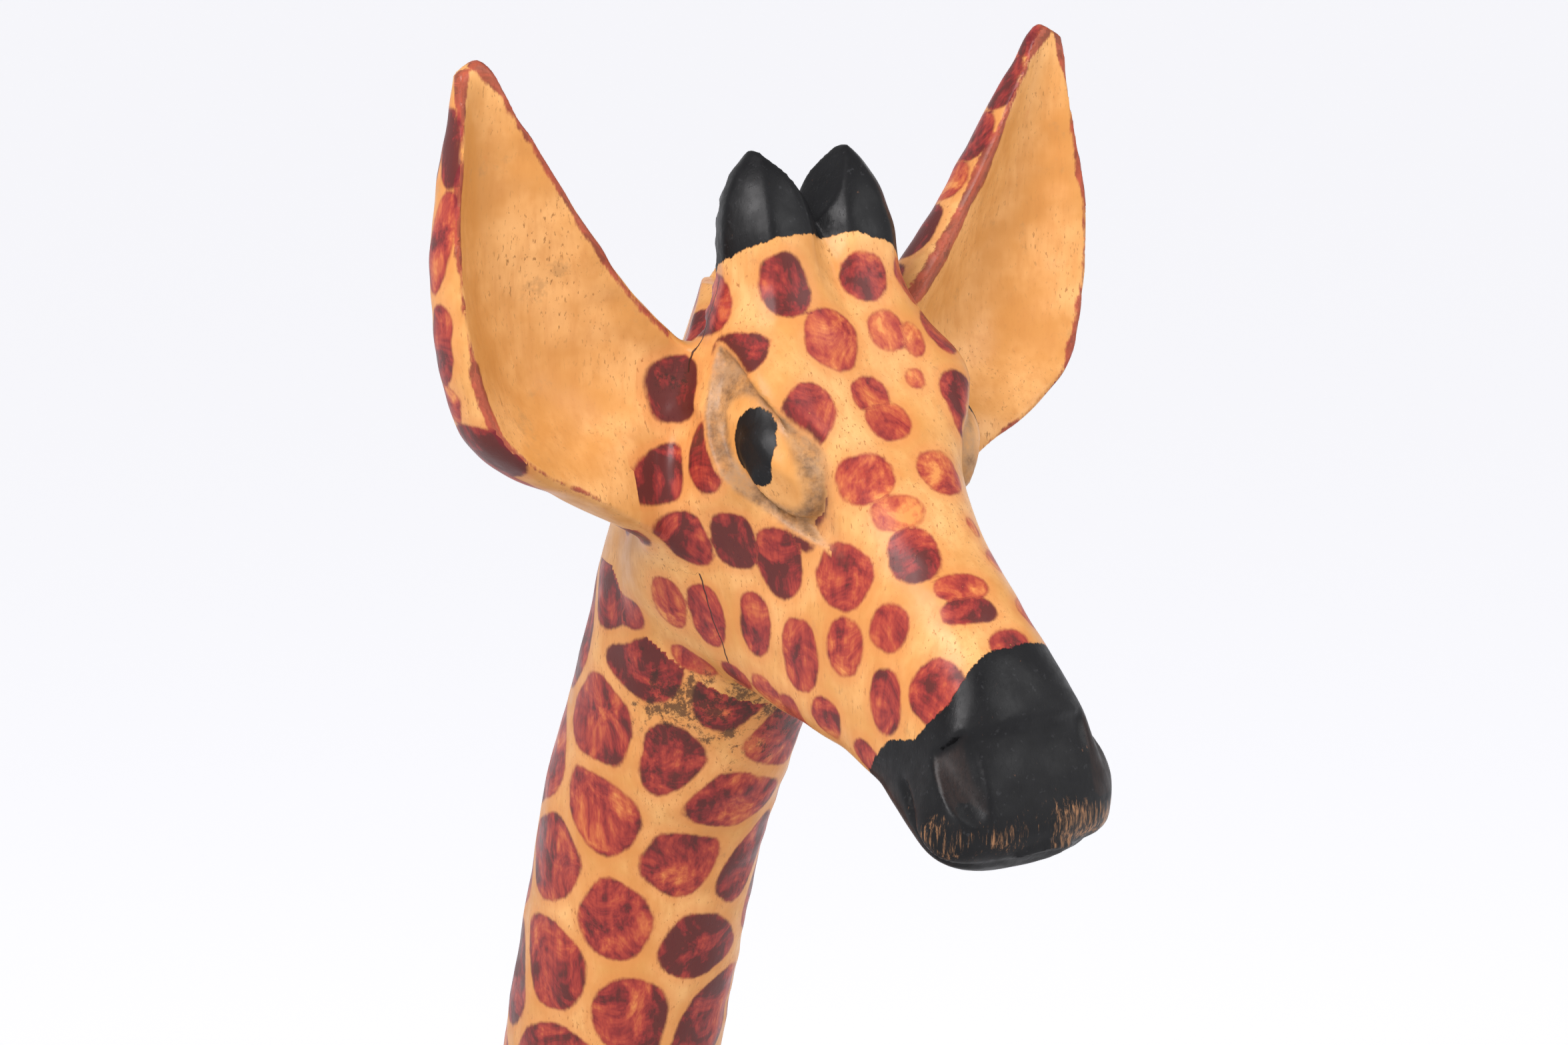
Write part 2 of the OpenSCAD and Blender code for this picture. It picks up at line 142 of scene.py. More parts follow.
def curve(rows, x):
    """All columns of the rows at x, as the CAD's own curve runs through them."""
    rows = np.asarray(rows, float)
    x = np.clip(np.asarray(x, float), rows[0, 0], rows[-1, 0])
    last = len(rows) - 1
    lean = np.array([
        (rows[min(i + 1, last)] - rows[max(i - 1, 0)])
        / (rows[min(i + 1, last), 0] - rows[max(i - 1, 0), 0]) for i in range(last + 1)])
    i = np.clip(np.searchsorted(rows[:, 0], x, "right") - 1, 0, last - 1)
    h = (rows[i + 1, 0] - rows[i, 0])[..., None]
    s = (x[..., None] - rows[i, 0][..., None]) / h
    return ((1 + 2 * s) * (1 - s) ** 2 * rows[i] + s * (1 - s) ** 2 * h * lean[i]
            + s * s * (3 - 2 * s) * rows[i + 1] + s * s * (s - 1) * h * lean[i + 1])


def swept(rows, steps):
    """Even steps along the rows' curve, and the way its first two columns run."""
    at = np.linspace(0, len(rows) - 1, steps)
    line = curve(np.column_stack([np.arange(len(rows)), rows]), at)[:, 1:]
    along = np.gradient(line[:, :2], axis=0)
    return line, along / np.linalg.norm(along, axis=1)[:, None]


def head_point(along, side, up):
    return HEAD + (side, -C45 * (along + up), C45 * (up - along))


def head_coords(y, z):
    """Distance along the head and height over its middle line."""
    dy, dz = y - HEAD[1], z - HEAD[2]
    return -(dy + dz) * C45, (dz - dy) * C45


def chunks(count, size=4000):
    return np.array_split(np.arange(count), max(1, count // size))


def join(a, b, k):
    """Union of two fields with a fillet of about k."""
    h = np.clip(0.5 + 0.5 * (b - a) / k, 0, 1)
    return b + (a - b) * h - k * h * (1 - h)


def cut(a, b, k):
    """Field a without field b, with an edge of about k."""
    return -join(-a, b, k)


def step01(x, lo, hi):
    s = np.clip((x - lo) / (hi - lo), 0, 1)
    return s * s * (3 - 2 * s)


def ripple(x, y, z, size, seed):
    """A smooth uneven field of about unit height, from a few crossed waves."""
    r = np.random.default_rng(seed)
    total = 0
    for _ in range(5):
        k = r.normal(size=3) * 3.6 / size
        a = r.uniform(0, 2 * math.pi, 3)
        total = total + np.sin(k[0] * x + a[0]) * np.sin(k[1] * y + a[1]) * np.sin(k[2] * z + a[2])
    return total * 0.7


# ---------------------------------------------------------------- fields
# Each field takes open grids x, y, z and gives the distance outside the wood.
def oval(x, q, half_x, half_q, power):
    """Distance outside a superellipse."""
    ax, aq = np.abs(x), np.abs(q)
    rho = np.maximum((ax / half_x) ** power + (aq / half_q) ** power, 1e-6) ** (1 / power)
    return np.hypot(ax, aq) * (1 - 1 / rho)


def ended(d, x, lo, hi):
    """Distance d made to grow past both ends of lo to hi as well."""
    past = np.abs(x - np.clip(x, lo, hi))
    return np.where(past > 0, np.hypot(np.maximum(d, 0), past), d)


def head_field(x, y, z):
    t, n = head_coords(y, z)
    row = curve(HEAD_ROWS, t)
    half, top, bottom, wide = row[..., 1], row[..., 2], row[..., 3], row[..., 4]
    q = n - wide
    reach = np.where(q >= 0, top - wide, wide - bottom)
    power = np.where(q >= 0, row[..., 5], row[..., 6])
    return ended(oval(x, q, half, reach, power), t, HEAD_ROWS[0, 0], HEAD_ROWS[-1, 0])


def neck_field(x, y, z):
    """Distance outside a sweep along the neck's curve in the middle plane."""
    line, along = swept(NECK_ROWS, 900)
    py, pz = (a.ravel() for a in np.broadcast_arrays(y[0] - POLL[1], z[0] - POLL[2]))
    near = np.empty(len(py), int)
    for part in chunks(len(py)):
        gap = (py[part, None] - line[:, 0]) ** 2 + (pz[part, None] - line[:, 1]) ** 2
        near[part] = gap.argmin(1)
    dy, dz = py - line[near, 0], pz - line[near, 1]
    shape = (1, y.shape[1], z.shape[2])
    across = (dy * along[near, 1] - dz * along[near, 0]).reshape(shape)
    past = np.abs(dy * along[near, 0] + dz * along[near, 1]).reshape(shape)
    d = oval(x, across, line[near, 2].reshape(shape), line[near, 3].reshape(shape), 2)
    return np.where(past > 1.5, np.hypot(np.maximum(d, 0), past), d)


def limb_field(rows, x, y, z):
    up = z - POLL[2]
    order = np.argsort(rows[:, 0])
    row = curve(rows[order], up)
    d = oval(np.abs(x) - row[..., 1], y - POLL[1] - row[..., 2], row[..., 3], row[..., 4], 2)
    return ended(d, up, rows[:, 0].min(), rows[:, 0].max())


def body_field(x, y, z):
    back = y - POLL[1]
    row = curve(BODY_ROWS, back)
    mid, reach = (row[..., 2] + row[..., 3]) / 2, (row[..., 2] - row[..., 3]) / 2
    d = oval(x, z - POLL[2] - mid, row[..., 1], reach, 2.3)
    return ended(d, back, BODY_ROWS[0, 0], BODY_ROWS[-1, 0])


def ear_section(share, points=72):
    """The ear's outline at one share of its length, across and to the front."""
    _, outer, inner, back, rim, scoop = curve(EAR_ROWS, share)
    a = np.linspace(0, 2 * math.pi, points, endpoint=False)
    s = np.sin(a)
    across = (outer + inner) / 2 + (outer - inner) / 2 * np.cos(a)
    lip = rim * np.minimum(1, 2.4 * s) - scoop * np.maximum(s, 0) ** 3
    return np.stack([across, np.where(s < 0, -back * np.abs(s) ** (2 / 2.8), lip)], -1)


def outline_distance(pts, ring):
    """Signed distance from points in a plane to a closed outline."""
    best = np.full(len(pts), 1e9)
    inside = np.zeros(len(pts), bool)
    for a, b in zip(ring, np.roll(ring, -1, 0)):
        e = b - a
        w = pts - a
        s = np.clip((w @ e) / max(e @ e, 1e-9), 0, 1)
        best = np.minimum(best, ((w - s[:, None] * e) ** 2).sum(1))
        crosses = (a[1] > pts[:, 1]) != (b[1] > pts[:, 1])
        rise = e[1] if abs(e[1]) > 1e-9 else 1e-9
        inside ^= crosses & (pts[:, 0] < e[0] * (pts[:, 1] - a[1]) / rise + a[0])
    return np.where(inside, -1, 1) * np.sqrt(best)


# The ear's own block of distances, a millimetre apart: length, across, front.
EAR_U = np.arange(-30, EAR_LENGTH + 8)
EAR_V = np.arange(-30, 60)
EAR_W = np.arange(-32, 24)


def ear_block():
    flat = np.stack(np.meshgrid(EAR_V, EAR_W, indexing="ij"), -1).reshape(-1, 2)
    block = np.empty((len(EAR_U), len(EAR_V), len(EAR_W)), np.float32)
    lo, hi = EAR_ROWS[[0, -1], 0]
    for i, u in enumerate(EAR_U):
        d = outline_distance(flat, ear_section(min(max(u / EAR_LENGTH, lo), hi)))
        d = ended(d, u, lo * EAR_LENGTH, hi * EAR_LENGTH)
        block[i] = d.reshape(len(EAR_V), len(EAR_W))
    return block


EAR_BLOCK = ear_block()


def ear_coords(p):
    """Along, across and to the front of an ear, for either ear."""
    d = np.stack([np.abs(p[..., 0]), p[..., 1], p[..., 2]], -1) - EAR_ROOT
    return d @ EAR_AXIS, d @ EAR_ACROSS, d @ EAR_FRONT


def ear_field(x, y, z):
    p = np.stack(np.broadcast_arrays(x, y, z), -1)
    out = []
    for value, axis in zip(ear_coords(p), (EAR_U, EAR_V, EAR_W)):
        f = np.clip(value - axis[0], 0, len(axis) - 1.001)
        i = f.astype(int)
        out.append((i, f - i))
    (i, a), (j, b), (k, c) = out
    total = 0
    for di in (0, 1):
        for dj in (0, 1):
            for dk in (0, 1):
                weight = (a if di else 1 - a) * (b if dj else 1 - b) * (c if dk else 1 - c)
                total = total + weight * EAR_BLOCK[i + di, j + dj, k + dk]
    return total


def horn_field(x, y, z, side):
    """A blunt tapering horn with hand-cut flats."""
    foot = POLL + (side * 12.5, -4, -16)
    tip = POLL + (side * 13 + 0.8 * (side < 0), 0, HORN_RISE + 1.5 * (side < 0))
    s = np.clip((z - foot[2]) / (tip[2] - foot[2]), 0, 1)
    dx = x - (foot[0] + (tip[0] - foot[0]) * s)
    dy = y - (foot[1] + (tip[1] - foot[1]) * s)
    radius = 13.6 + (2.2 - 13.6) * s ** 2.9 + 0.25 * np.maximum(foot[2] - z, 0)
    flats = np.maximum.reduce([
        np.maximum(dx * math.cos(a) + dy * math.sin(a), 0)
        for a in np.radians([-98, -38, 28, 92, 150, 214])])
    across = 0.55 * np.hypot(dx, dy) + 0.47 * flats
    over = np.maximum(z - tip[2], POLL[2] - 44 - z)
    inner = 0.79 * (0.72 * (z - POLL[2]) + 2.6 - side * x)
    return np.maximum(np.maximum(across - radius, over), inner)


def from_eye(t, n):
    """How far back and how far up from the middle of the eye."""
    t, n = t - EYE[0], n - EYE[2]
    return -C45 * (t + n), C45 * (n - t)


def almond(t, n):
    """Eye coordinates: along to the front corner, up, distance outside the almond."""
    dy, dz = from_eye(t, n)
    u = -(dy * math.cos(ALMOND_TILT) + dz * math.sin(ALMOND_TILT))
    v = -dy * math.sin(ALMOND_TILT) + dz * math.cos(ALMOND_TILT)
    u, v = u - ALMOND_SHIFT[0], v - ALMOND_SHIFT[1]
    r = (ALMOND[0] ** 2 + ALMOND[1] ** 2) / (2 * ALMOND[1])
    lids = np.maximum(np.hypot(u, v - (r - ALMOND[1])), np.hypot(u, v + (r - ALMOND[1])))
    return u, v, lids - r


def along_nostril(x, y, z, side):
    """Distance from a nostril's middle line, and how far along it, towards the lip."""
    a, b = head_point(125, side * 29, 19), head_point(147, side * 21, 13)
    long = np.linalg.norm(b - a)
    e = (b - a) / long
    s = np.clip((x - a[0]) * e[0] + (y - a[1]) * e[1] + (z - a[2]) * e[2], 0, long)
    off = np.sqrt((x - a[0] - s * e[0]) ** 2 + (y - a[1] - s * e[1]) ** 2
                  + (z - a[2] - s * e[2]) ** 2)
    return off, s


def top_field(x, y, z):
    """Head, neck, horns and ears as one carved surface."""
    head = head_field(x, y, z)
    neck = neck_field(x, y, z)
    t, n = head_coords(y, z)
    u, v, lid = almond(t, n)
    # The brow stands up over the hollow of the eye, and the hollow is deepest under it.
    on_side = step01(np.abs(x), 18, 24)
    head = head - 0.8 * on_side * np.exp(-((lid - 2.0) / 2.6) ** 2) * step01(v, 0, 6)
    front_lid = step01(u, -14, 10) * step01(v, -4, 3)
    deep = step01(-lid, 0.0, 3.0 + 3 * front_lid) * (4.8 - 2.6 * front_lid)
    head = head + on_side * deep
    # A shallow dip runs down the forehead between the eyes.
    head = head + 1.2 * np.exp(-(x / 9) ** 2 - ((t - 34) / 20) ** 2) * step01(n, 5, 20)
    d = join(head, neck, 5)
    # The eyeball: a low dome with a ridge between two cut planes.
    ball_x = np.abs(x) - (EYE[1] - 12)
    ball = (np.sqrt((ball_x / 12.4) ** 2 + (u / 18) ** 2 + ((v + 0.8) / 9.6) ** 2) - 1) * 11
    crease = np.maximum(ball_x + 0.10 * (u - 4) - 11.2, ball_x + 0.62 * (u - 4) - 11.2)
    d = join(d, np.maximum(ball, crease), 0.8)
    d = join(d, join(horn_field(x, y, z, -1), horn_field(x, y, z, 1), 1.2), 8)
    # The back corners of the poll are cut away below the horns.
    corner = (0.788 * np.abs(x) + 0.616 * (y - POLL[1])
              - 21.8 - 0.31 * np.maximum(POLL[2] - 12 - z, 0))
    d = cut(d, np.maximum.reduce(np.broadcast_arrays(
        -corner, POLL[2] - 44 - z, POLL[1] - 2 - y)), 1.5)
    if np.abs(x).max() > 25:
        d = join(d, ear_field(x, y, z), 8)
    # The back of the right horn is split off along the grain.
    torn = POLL[1] + 5.0 + 0.18 * (x + 18) + 0.8 * np.sin(z * 1.1) + 0.6 * np.sin(z * 0.47 + x)
    ledge = POLL[2] - 21 + 0.9 * np.minimum(x + 12, 0)
    split = np.maximum.reduce(np.broadcast_arrays(torn - y, x + 2.5, -30 - x, ledge - z))
    d = cut(d, split, 0.6)
    # Nostrils: gouges that start at a steep edge and fade out towards the lip.
    for side in (-1, 1):
        off, s = along_nostril(x, y, z, side)
        gouge = off - (11 - 2.5 * (side > 0) - 0.24 * s)
        d = cut(d, np.maximum(gouge, 125 - t), 0.5)
    # The front of the nose is set back under a sharp edge.
    below = t - 127.5 + 0.004 * x * x
    front = step01(n, 9, 13) * step01(19 - np.abs(x), 0, 4)
    d = d + 1.7 * step01(below, -0.4, 0.9) * (1 - step01(below, 3, 15)) * front
    # The rolled upper lip and the line of the mouth under it.
    lip_at = n - 5.5 + 0.009 * x * x
    d = d - 1.9 * np.exp(-(lip_at / 3.6) ** 2) * step01(t, 130, 140)
    d = d + 2.1 * np.exp(-((lip_at + 4.4) / 1.1) ** 2) * step01(t, 121, 128)
    d = d - 2.4 * np.exp(-((t - 136) / 8) ** 2 - ((n - 6) / 8) ** 2) * step01(x, 12, 22)
    return d + 0.30 * ripple(x, y, z, 26, 3) + 0.12 * ripple(x, y, z, 9, 4)


def low_field(x, y, z):
    """Body with the stump of the neck and the four thighs."""
    d = join(body_field(x, y, z), neck_field(x, y, z), 14)
    for rows in (FRONT_THIGH, REAR_THIGH):
        d = join(d, limb_field(rows, x, y, z), 9)
    d = np.maximum(d, POLL[2] + LEG_SEAT - z)
    return d + 0.35 * ripple(x, y, z, 26, 3) + 0.12 * ripple(x, y, z, 9, 4)


# ---------------------------------------------------------------- meshes
def make_object(name, verts, faces):
    """A mesh object from points in millimetres."""
    me = bpy.data.meshes.new(name)
    me.from_pydata((verts / 1000).tolist(), [], faces)
    me.update()
    ob = bpy.data.objects.new(name, me)
    bpy.context.scene.collection.objects.link(ob)
    return ob


def spread(lo, hi, step):
    return np.linspace(lo, hi, int(math.ceil((hi - lo) / step)) + 1)


def carve(field, xs, ys, zs):
    """The surface where the field is 0, as quads, in millimetres."""
    values = np.empty((len(xs), len(ys), len(zs)), np.float32)
    y, z = ys[None, :, None], zs[None, None, :]
    for part in chunks(len(xs), 16):
        values[part] = field(xs[part][:, None, None], y, z)
    grid = openvdb.FloatGrid(3.0)
    grid.copyFromArray(np.clip(values, -3, 3))
    points, quads = grid.convertToQuads(isovalue=0.0)
    verts = np.stack([np.interp(points[:, i], np.arange(len(a)), a)
                      for i, a in enumerate((xs, ys, zs))], -1)
    return verts, quads


def shade(ob, bm, degrees):
    """Puts an edited mesh back, smooth but for edges sharper than the angle."""
    bm.to_mesh(ob.data)
    bm.free()
    ob.data.polygons.foreach_set("use_smooth", np.ones(len(ob.data.polygons), bool))
    ob.data.set_sharp_from_angle(angle=math.radians(degrees))
    return ob


def piece_of(name, verts, quads, planes):
    """One piece of a carved surface, cut off beyond each plane and closed there."""
    ob = make_object(name, verts, quads.tolist())
    bm = bmesh.new()
    bm.from_mesh(ob.data)
    for at, away in planes:
        cutting = bmesh.ops.bisect_plane(
            bm, geom=bm.verts[:] + bm.edges[:] + bm.faces[:], dist=1e-7,
            plane_co=Vector(at) / 1000, plane_no=Vector(away), clear_outer=True)
        edges = [e for e in cutting["geom_cut"]
                 if isinstance(e, bmesh.types.BMEdge) and e.is_boundary]
        bmesh.ops.holes_fill(bm, edges=edges, sides=0)
    loose = [v for v in bm.verts if not v.link_faces]
    bmesh.ops.delete(bm, geom=loose, context="VERTS")
    bmesh.ops.triangulate(bm, faces=[f for f in bm.faces if len(f.verts) > 4])
    return shade(ob, bm, 40)


def per_point(ob, what):
    """The positions in metres ("co") or the normals ("normal") of a mesh's points."""
    values = np.empty(len(ob.data.vertices) * 3, np.float32)
    ob.data.vertices.foreach_get(what, values)
    return values.reshape(-1, 3).astype(float)


def leg_mesh(name, rows, side):
    """A leg as close rings, with small uneven flats left by the knife."""
    around = 72
    steps = 2 * around
    zs = np.linspace(rows[0, 0], rows[-1, 0], steps)
    row = curve(rows[::-1], zs)
    a = np.linspace(0, 2 * math.pi, around, endpoint=False)
    x = side * row[:, 1, None] + row[:, 3, None] * np.cos(a)
    y = row[:, 2, None] + row[:, 4, None] * np.sin(a)
    p = np.stack([x, y, np.repeat(zs[:, None], around, 1)], -1) + POLL
    step = np.arange(steps)
    fade = np.minimum(1, np.minimum(step, step[::-1]) / 6)[:, None]
    uneven = 0.35 * fade * ripple(p[..., 0], p[..., 1], p[..., 2], 22, 7)
    p[..., 0] += uneven * np.cos(a)
    p[..., 1] += uneven * np.sin(a)
    return skin(name, p)


def skin(name, rings):
    """Closed mesh through rings of points in millimetres."""
    count, around = rings.shape[:2]
    end = (count - 1) * around
    pairs = [(j, (j + 1) % around) for j in range(around)]
    faces = [(i + j, i + around + j, i + around + k, i + k)
             for i in range(0, end, around) for j, k in pairs]
    verts = np.concatenate([rings.reshape(-1, 3), rings[[0, -1]].mean(1)])
    for j, k in pairs:
        faces += [(end + around, j, k), (end + around + 1, end + k, end + j)]
    ob = make_object(name, verts, faces)
    bm = bmesh.new()
    bm.from_mesh(ob.data)
    bmesh.ops.recalc_face_normals(bm, faces=bm.faces[:])
    return shade(ob, bm, 50)


# Head and ears come from one surface, cut at the glued faces of the ears.
FINE = 1.0 * COARSE
neck_out = Vector((0, math.sin(NECK_LEAN), -math.cos(NECK_LEAN)))
head_top = spread(POLL[2] - NECK_TOP, POLL[2] + 19, FINE)
neck_z = spread(NECK_FOOT[2] - 22, POLL[2] - NECK_TOP, 2.3 * COARSE)[:-1]
head_zs = np.concatenate([neck_z, head_top])
head_ys = spread(POLL[1] - 103, POLL[1] + 214, FINE)
head_mesh = carve(top_field, spread(-52, 52, FINE), head_ys, head_zs)
head = piece_of("head_and_neck_carved", *head_mesh, [
    (NECK_FOOT, neck_out), ((EAR_SEAT, 0, 0), (1, 0, 0)), ((-EAR_SEAT, 0, 0), (-1, 0, 0))])
ears = {}
for side, name in ((1, "left_ear_carved"), (-1, "right_ear_carved")):
    xs = spread(EAR_SEAT - 3, 106, 0.9 * COARSE) * side
    mesh = carve(top_field, np.sort(xs), spread(POLL[1] - 40, POLL[1] + 50, 0.9 * COARSE),
                 spread(POLL[2] - 100, POLL[2] + 44, 0.9 * COARSE))
    ears[side] = piece_of(name, *mesh, [((side * EAR_SEAT, 0, 0), (-side, 0, 0))])
LOW = 1.7 * COARSE
body_mesh = carve(low_field, spread(-70, 70, LOW), spread(POLL[1] + 70, POLL[1] + 420, LOW),
                  spread(POLL[2] + LEG_SEAT - 4, POLL[2] - 530, LOW))
body = piece_of("body_carved", *body_mesh, [
    (NECK_FOOT, -neck_out), ((0, 0, POLL[2] + LEG_SEAT), (0, 0, -1)),
    ((0, POLL[1] + TAIL_SEAT, 0), (0, 1, 0))])
legs = {}
for side, word in ((1, "left"), (-1, "right")):
    for rows, end in ((FRONT_LEG, "front"), (REAR_LEG, "rear")):
        name = f"{end}_{word}_leg"
        legs[name] = leg_mesh(name + "_carved", rows, side)


def tail_mesh():
    line, along = swept(TAIL_ROWS * (1, TAIL_DROP, 1, 1) + (0, TAIL_AT, 0, 0), 90)
    mid, share = line[:, :2], (line[:, 1:2] - TAIL_AT) / TAIL_DROP
    a = np.linspace(0, 2 * math.pi, 36, endpoint=False)
    tuft = step01(-share, 0.68, 0.76)
    grooves = 1 - 0.09 * tuft * (0.5 + 0.5 * np.sin(9 * a + 2.0 * np.sin(14 * share)))
    across = line[:, 3, None] * np.cos(a) * grooves
    rings = np.stack([line[:, 2, None] * np.sin(a) * grooves,
                      mid[:, :1] + across * along[:, 1:], mid[:, 1:] - across * along[:, :1]], -1)
    return skin("tail_carved", rings + POLL)


tail = tail_mesh()

# ---------------------------------------------------------------- paint
# Head spots, from the right side and repeated a little shifted on the left: along,
# height, half upward, half sideways, lean, tone.
# Tone runs from 0, dark maroon, to 1, pale orange.
SIDE_SPOTS = [
    (-4, 21, 7.8, 9, 20, 0.25), (16, 27, 5.4, 9, 5, 0.05), (9, 5, 8.8, 6.6, 8, 0.0),
    (25.5, -7.5, 7.4, 4.8, 5, 0.2), (31, 5.5, 9.3, 6.6, 0, 0.2), (40.5, -16, 7.8, 6.0, 5, 0.25),
    (48, -7, 8.4, 7, 0, 0.25), (60, -2, 10, 7, 6, 0.3), (74, 12, 8.4, 8.4, -22, 0.35),
    (91, 15, 6, 6, -15, 0.65), (87, 0, 7.8, 6.2, 0, 0.7), (79, -15, 9.8, 6.6, 0, 0.4),
    (54, -34, 10, 6, -6, 0.35), (64, -22, 9.4, 5.6, -6, 0.35), (45, -41, 8.6, 5.4, -8, 0.6),
    (68, -45, 3.6, 6, -25, 0.6), (79, -36, 4.6, 7.5, -30, 0.6), (95, -20, 5.6, 6, -20, 0.55),
    (105, 3, 8.2, 6, 6, 0.45), (112, 19, 8.0, 8, -30, 0.25), (60, 13, 7, 4.5, -30, 0.1),
    (112, -14, 4, 7, -35, 0.35), (29, -25, 5.6, 4.8, -10, 0.3), (36, -58, 5, 7, 0, 0.5),
    (58, -56, 4, 7, -30, 0.5)]
# Forehead and nose: along, side, half along, half sideways, lean, tone.
TOP_SPOTS = [
    (4, -16.5, 8.4, 6.6, 8, 0.15), (3.5, 7.5, 7, 6.8, -20, 0.45), (6, 20, 7, 4.2, 10, 0.45),
    (20, -9.5, 8.6, 8.2, -25, 0.4), (19, 9, 6, 5.5, 0, 0.75), (23, 15, 5, 3.5, 0, 0.75),
    (35, -4, 5, 6.4, 0, 0.55), (43, -2, 6, 6.6, 0, 0.6), (38, -23.5, 9, 7, -40, 0.4),
    (42, 25, 10, 7, 0, 0.1), (33, 12, 3, 3, 0, 0.8), (57, -15, 6.6, 7.6, 10, 0.55),
    (67, -11, 5, 7, 10, 0.8), (59, 6, 6.8, 7, 0, 0.65), (79.5, -12, 7.8, 6.6, 20, 0.2),
    (91.5, -4.5, 4.2, 7.5, -5, 0.5), (97.5, -5, 4.2, 7.5, 0, 0.3), (108.5, 1, 4.4, 6.4, 0, 0.4),
    (75, 9, 3, 2.6, 0, 0.8), (84, 13, 3.6, 4, 0, 0.75), (100, 14, 4.6, 4, 0, 0.7),
    (20, 27, 7, 6, 0, 0.3)]
# Neck: down from the poll, angle round from the throat towards its left side.
NECK_SPOTS = [
    (78, -86), (94, -62), (103, -90), (120, -68), (128, -22), (139, 6), (141, -80),
    (147, -43), (158, -13), (165, -67), (184, 17), (182, -97), (178, -22), (197, -50),
    (205, -6), (214, -82), (225, -33), (229, 11), (244, -66)]


NO_PAINT = -20.0
NO_CRACK = 9.0


class Paint:
    """Paint values at each point of a piece. Distances are millimetres inside the paint."""

    def __init__(self, ob):
        self.ob = ob
        self.p = per_point(ob, "co") * 1000
        self.n = per_point(ob, "normal")
        count = len(self.p)
        self.spot = np.full(count, NO_PAINT)
        self.tone = np.full(count, 0.4)
        self.seed = np.zeros(count)
        self.other = {k: np.full(count, v) for k, v in (
            ("black", NO_PAINT), ("worn", 0.0), ("wash", 0.0), ("smudge_and_shade", 0.0),
            ("rim", NO_PAINT), ("crack", NO_CRACK), ("eye", NO_PAINT))}

    def add(self, d, tone, seed):
        better = d > self.spot
        self.spot = np.where(better, d, self.spot)
        self.tone = np.where(better, tone, self.tone)
        self.seed = np.where(better, seed, self.seed)

    def nearest(self, centre):
        i = ((self.p - centre) ** 2).sum(1).argmin()
        return self.p[i], self.n[i]

    def oval(self, centre, half_up, half_side, lean, tone, depth=16, placed=None):
        at, out = placed or self.nearest(centre)
        up = np.array([0, 0, 1.0]) - out * out[2]
        if np.linalg.norm(up) < 0.2:
            up = np.array([0, -1.0, 0]) - out * -out[1]
        up /= np.linalg.norm(up)
        side = np.cross(up, out)
        a = math.radians(lean)
        long = up * math.cos(a) - side * math.sin(a)
        q = self.p - at
        u, v, w = q @ long, q @ np.cross(long, out), q @ out
        seam = np.abs(np.abs(self.p[:, 0]) - EAR_SEAT) < 1.2
        near = (np.abs(w) < depth) & ((self.n @ out > 0.1) | seam)
        seed = float(np.random.default_rng(abs(int(centre @ (13, 7, 3)))).uniform())
        self.add(np.where(near, -oval(u, v, half_up, half_side, 2.4), NO_PAINT), tone, seed)

    def patches(self, sites, gap, where, soft):
        """Closely packed rounded patches, one round each site."""
        p = self.p[where]
        r = np.random.default_rng(len(sites))
        tones = r.uniform(0.12, 0.5, len(sites))
        seeds = r.uniform(size=len(sites))
        edge, own = np.empty(len(p)), np.empty(len(p), int)
        for part in chunks(len(p)):
            q = p[part]
            d2 = ((q[:, None] - sites) ** 2).sum(2)
            order = np.argsort(d2, 1)[:, :7]
            mine = order[:, 0]
            own[part] = mine
            best = None
            for k in range(1, min(7, len(sites))):
                other = order[:, k]
                apart = np.linalg.norm(sites[other] - sites[mine], axis=1)
                rows = np.arange(len(q))
                e = (d2[rows, other] - d2[rows, mine]) / (2 * np.maximum(apart, 1))
                best = e if best is None else join(best, e, soft)
            edge[part] = best
        full = np.full(len(self.p), NO_PAINT)
        full[where] = edge - gap
        tone, seed = np.full(len(self.p), 0.4), np.zeros(len(self.p))
        tone[where], seed[where] = tones[own], seeds[own]
        self.add(full, tone, seed)

    def store(self):
        me = self.ob.data
        values = {"spot": self.spot, "tone": self.tone, "seed": self.seed, **self.other}
        for name, value in values.items():
            layer = me.attributes.new(name, "FLOAT", "POINT")
            value = np.clip(value, NO_PAINT, -NO_PAINT)
            layer.data.foreach_set("value", value.astype(np.float32))


def neck_point(down, angle):
    rows = NECK_ROWS[::-1]
    back, half_x, half_y = (np.interp(down, -rows[:, 1], rows[:, i]) for i in (0, 2, 3))
    a = math.radians(angle)
    return POLL + (half_x * math.sin(a), back - half_y * math.cos(a), -down)


def neck_sites():
    sites = [neck_point(*s) for s in NECK_SPOTS]
    r = np.random.default_rng(5)
    for row, down in enumerate(np.arange(122, 262, 34)):
        for angle in np.arange(52, 250, 40) + (20 if row % 2 else 0):
            if angle < 243:
                sites.append(neck_point(down + r.uniform(-5, 5), angle + r.uniform(-5, 5)))
    for row, down in enumerate(np.arange(270, 640, 39)):
        for angle in np.arange(0, 360, 60) + (30 if row % 2 else 0):
            sites.append(neck_point(down + r.uniform(-6, 6), angle + r.uniform(-8, 8)))
    return np.array(sites)


def scattered(points, spacing, seed):
    """Points picked from a surface so that none are closer than the spacing."""
    r = np.random.default_rng(seed)
    pool = points[r.permutation(len(points))[:3500]]
    gaps = spacing(pool) if callable(spacing) else np.full(len(pool), float(spacing))
    chosen = []
    for p, gap in zip(pool, gaps):
        if all((p - c) @ (p - c) > gap * gap for c in chosen):
            chosen.append(p)
    return np.array(chosen)


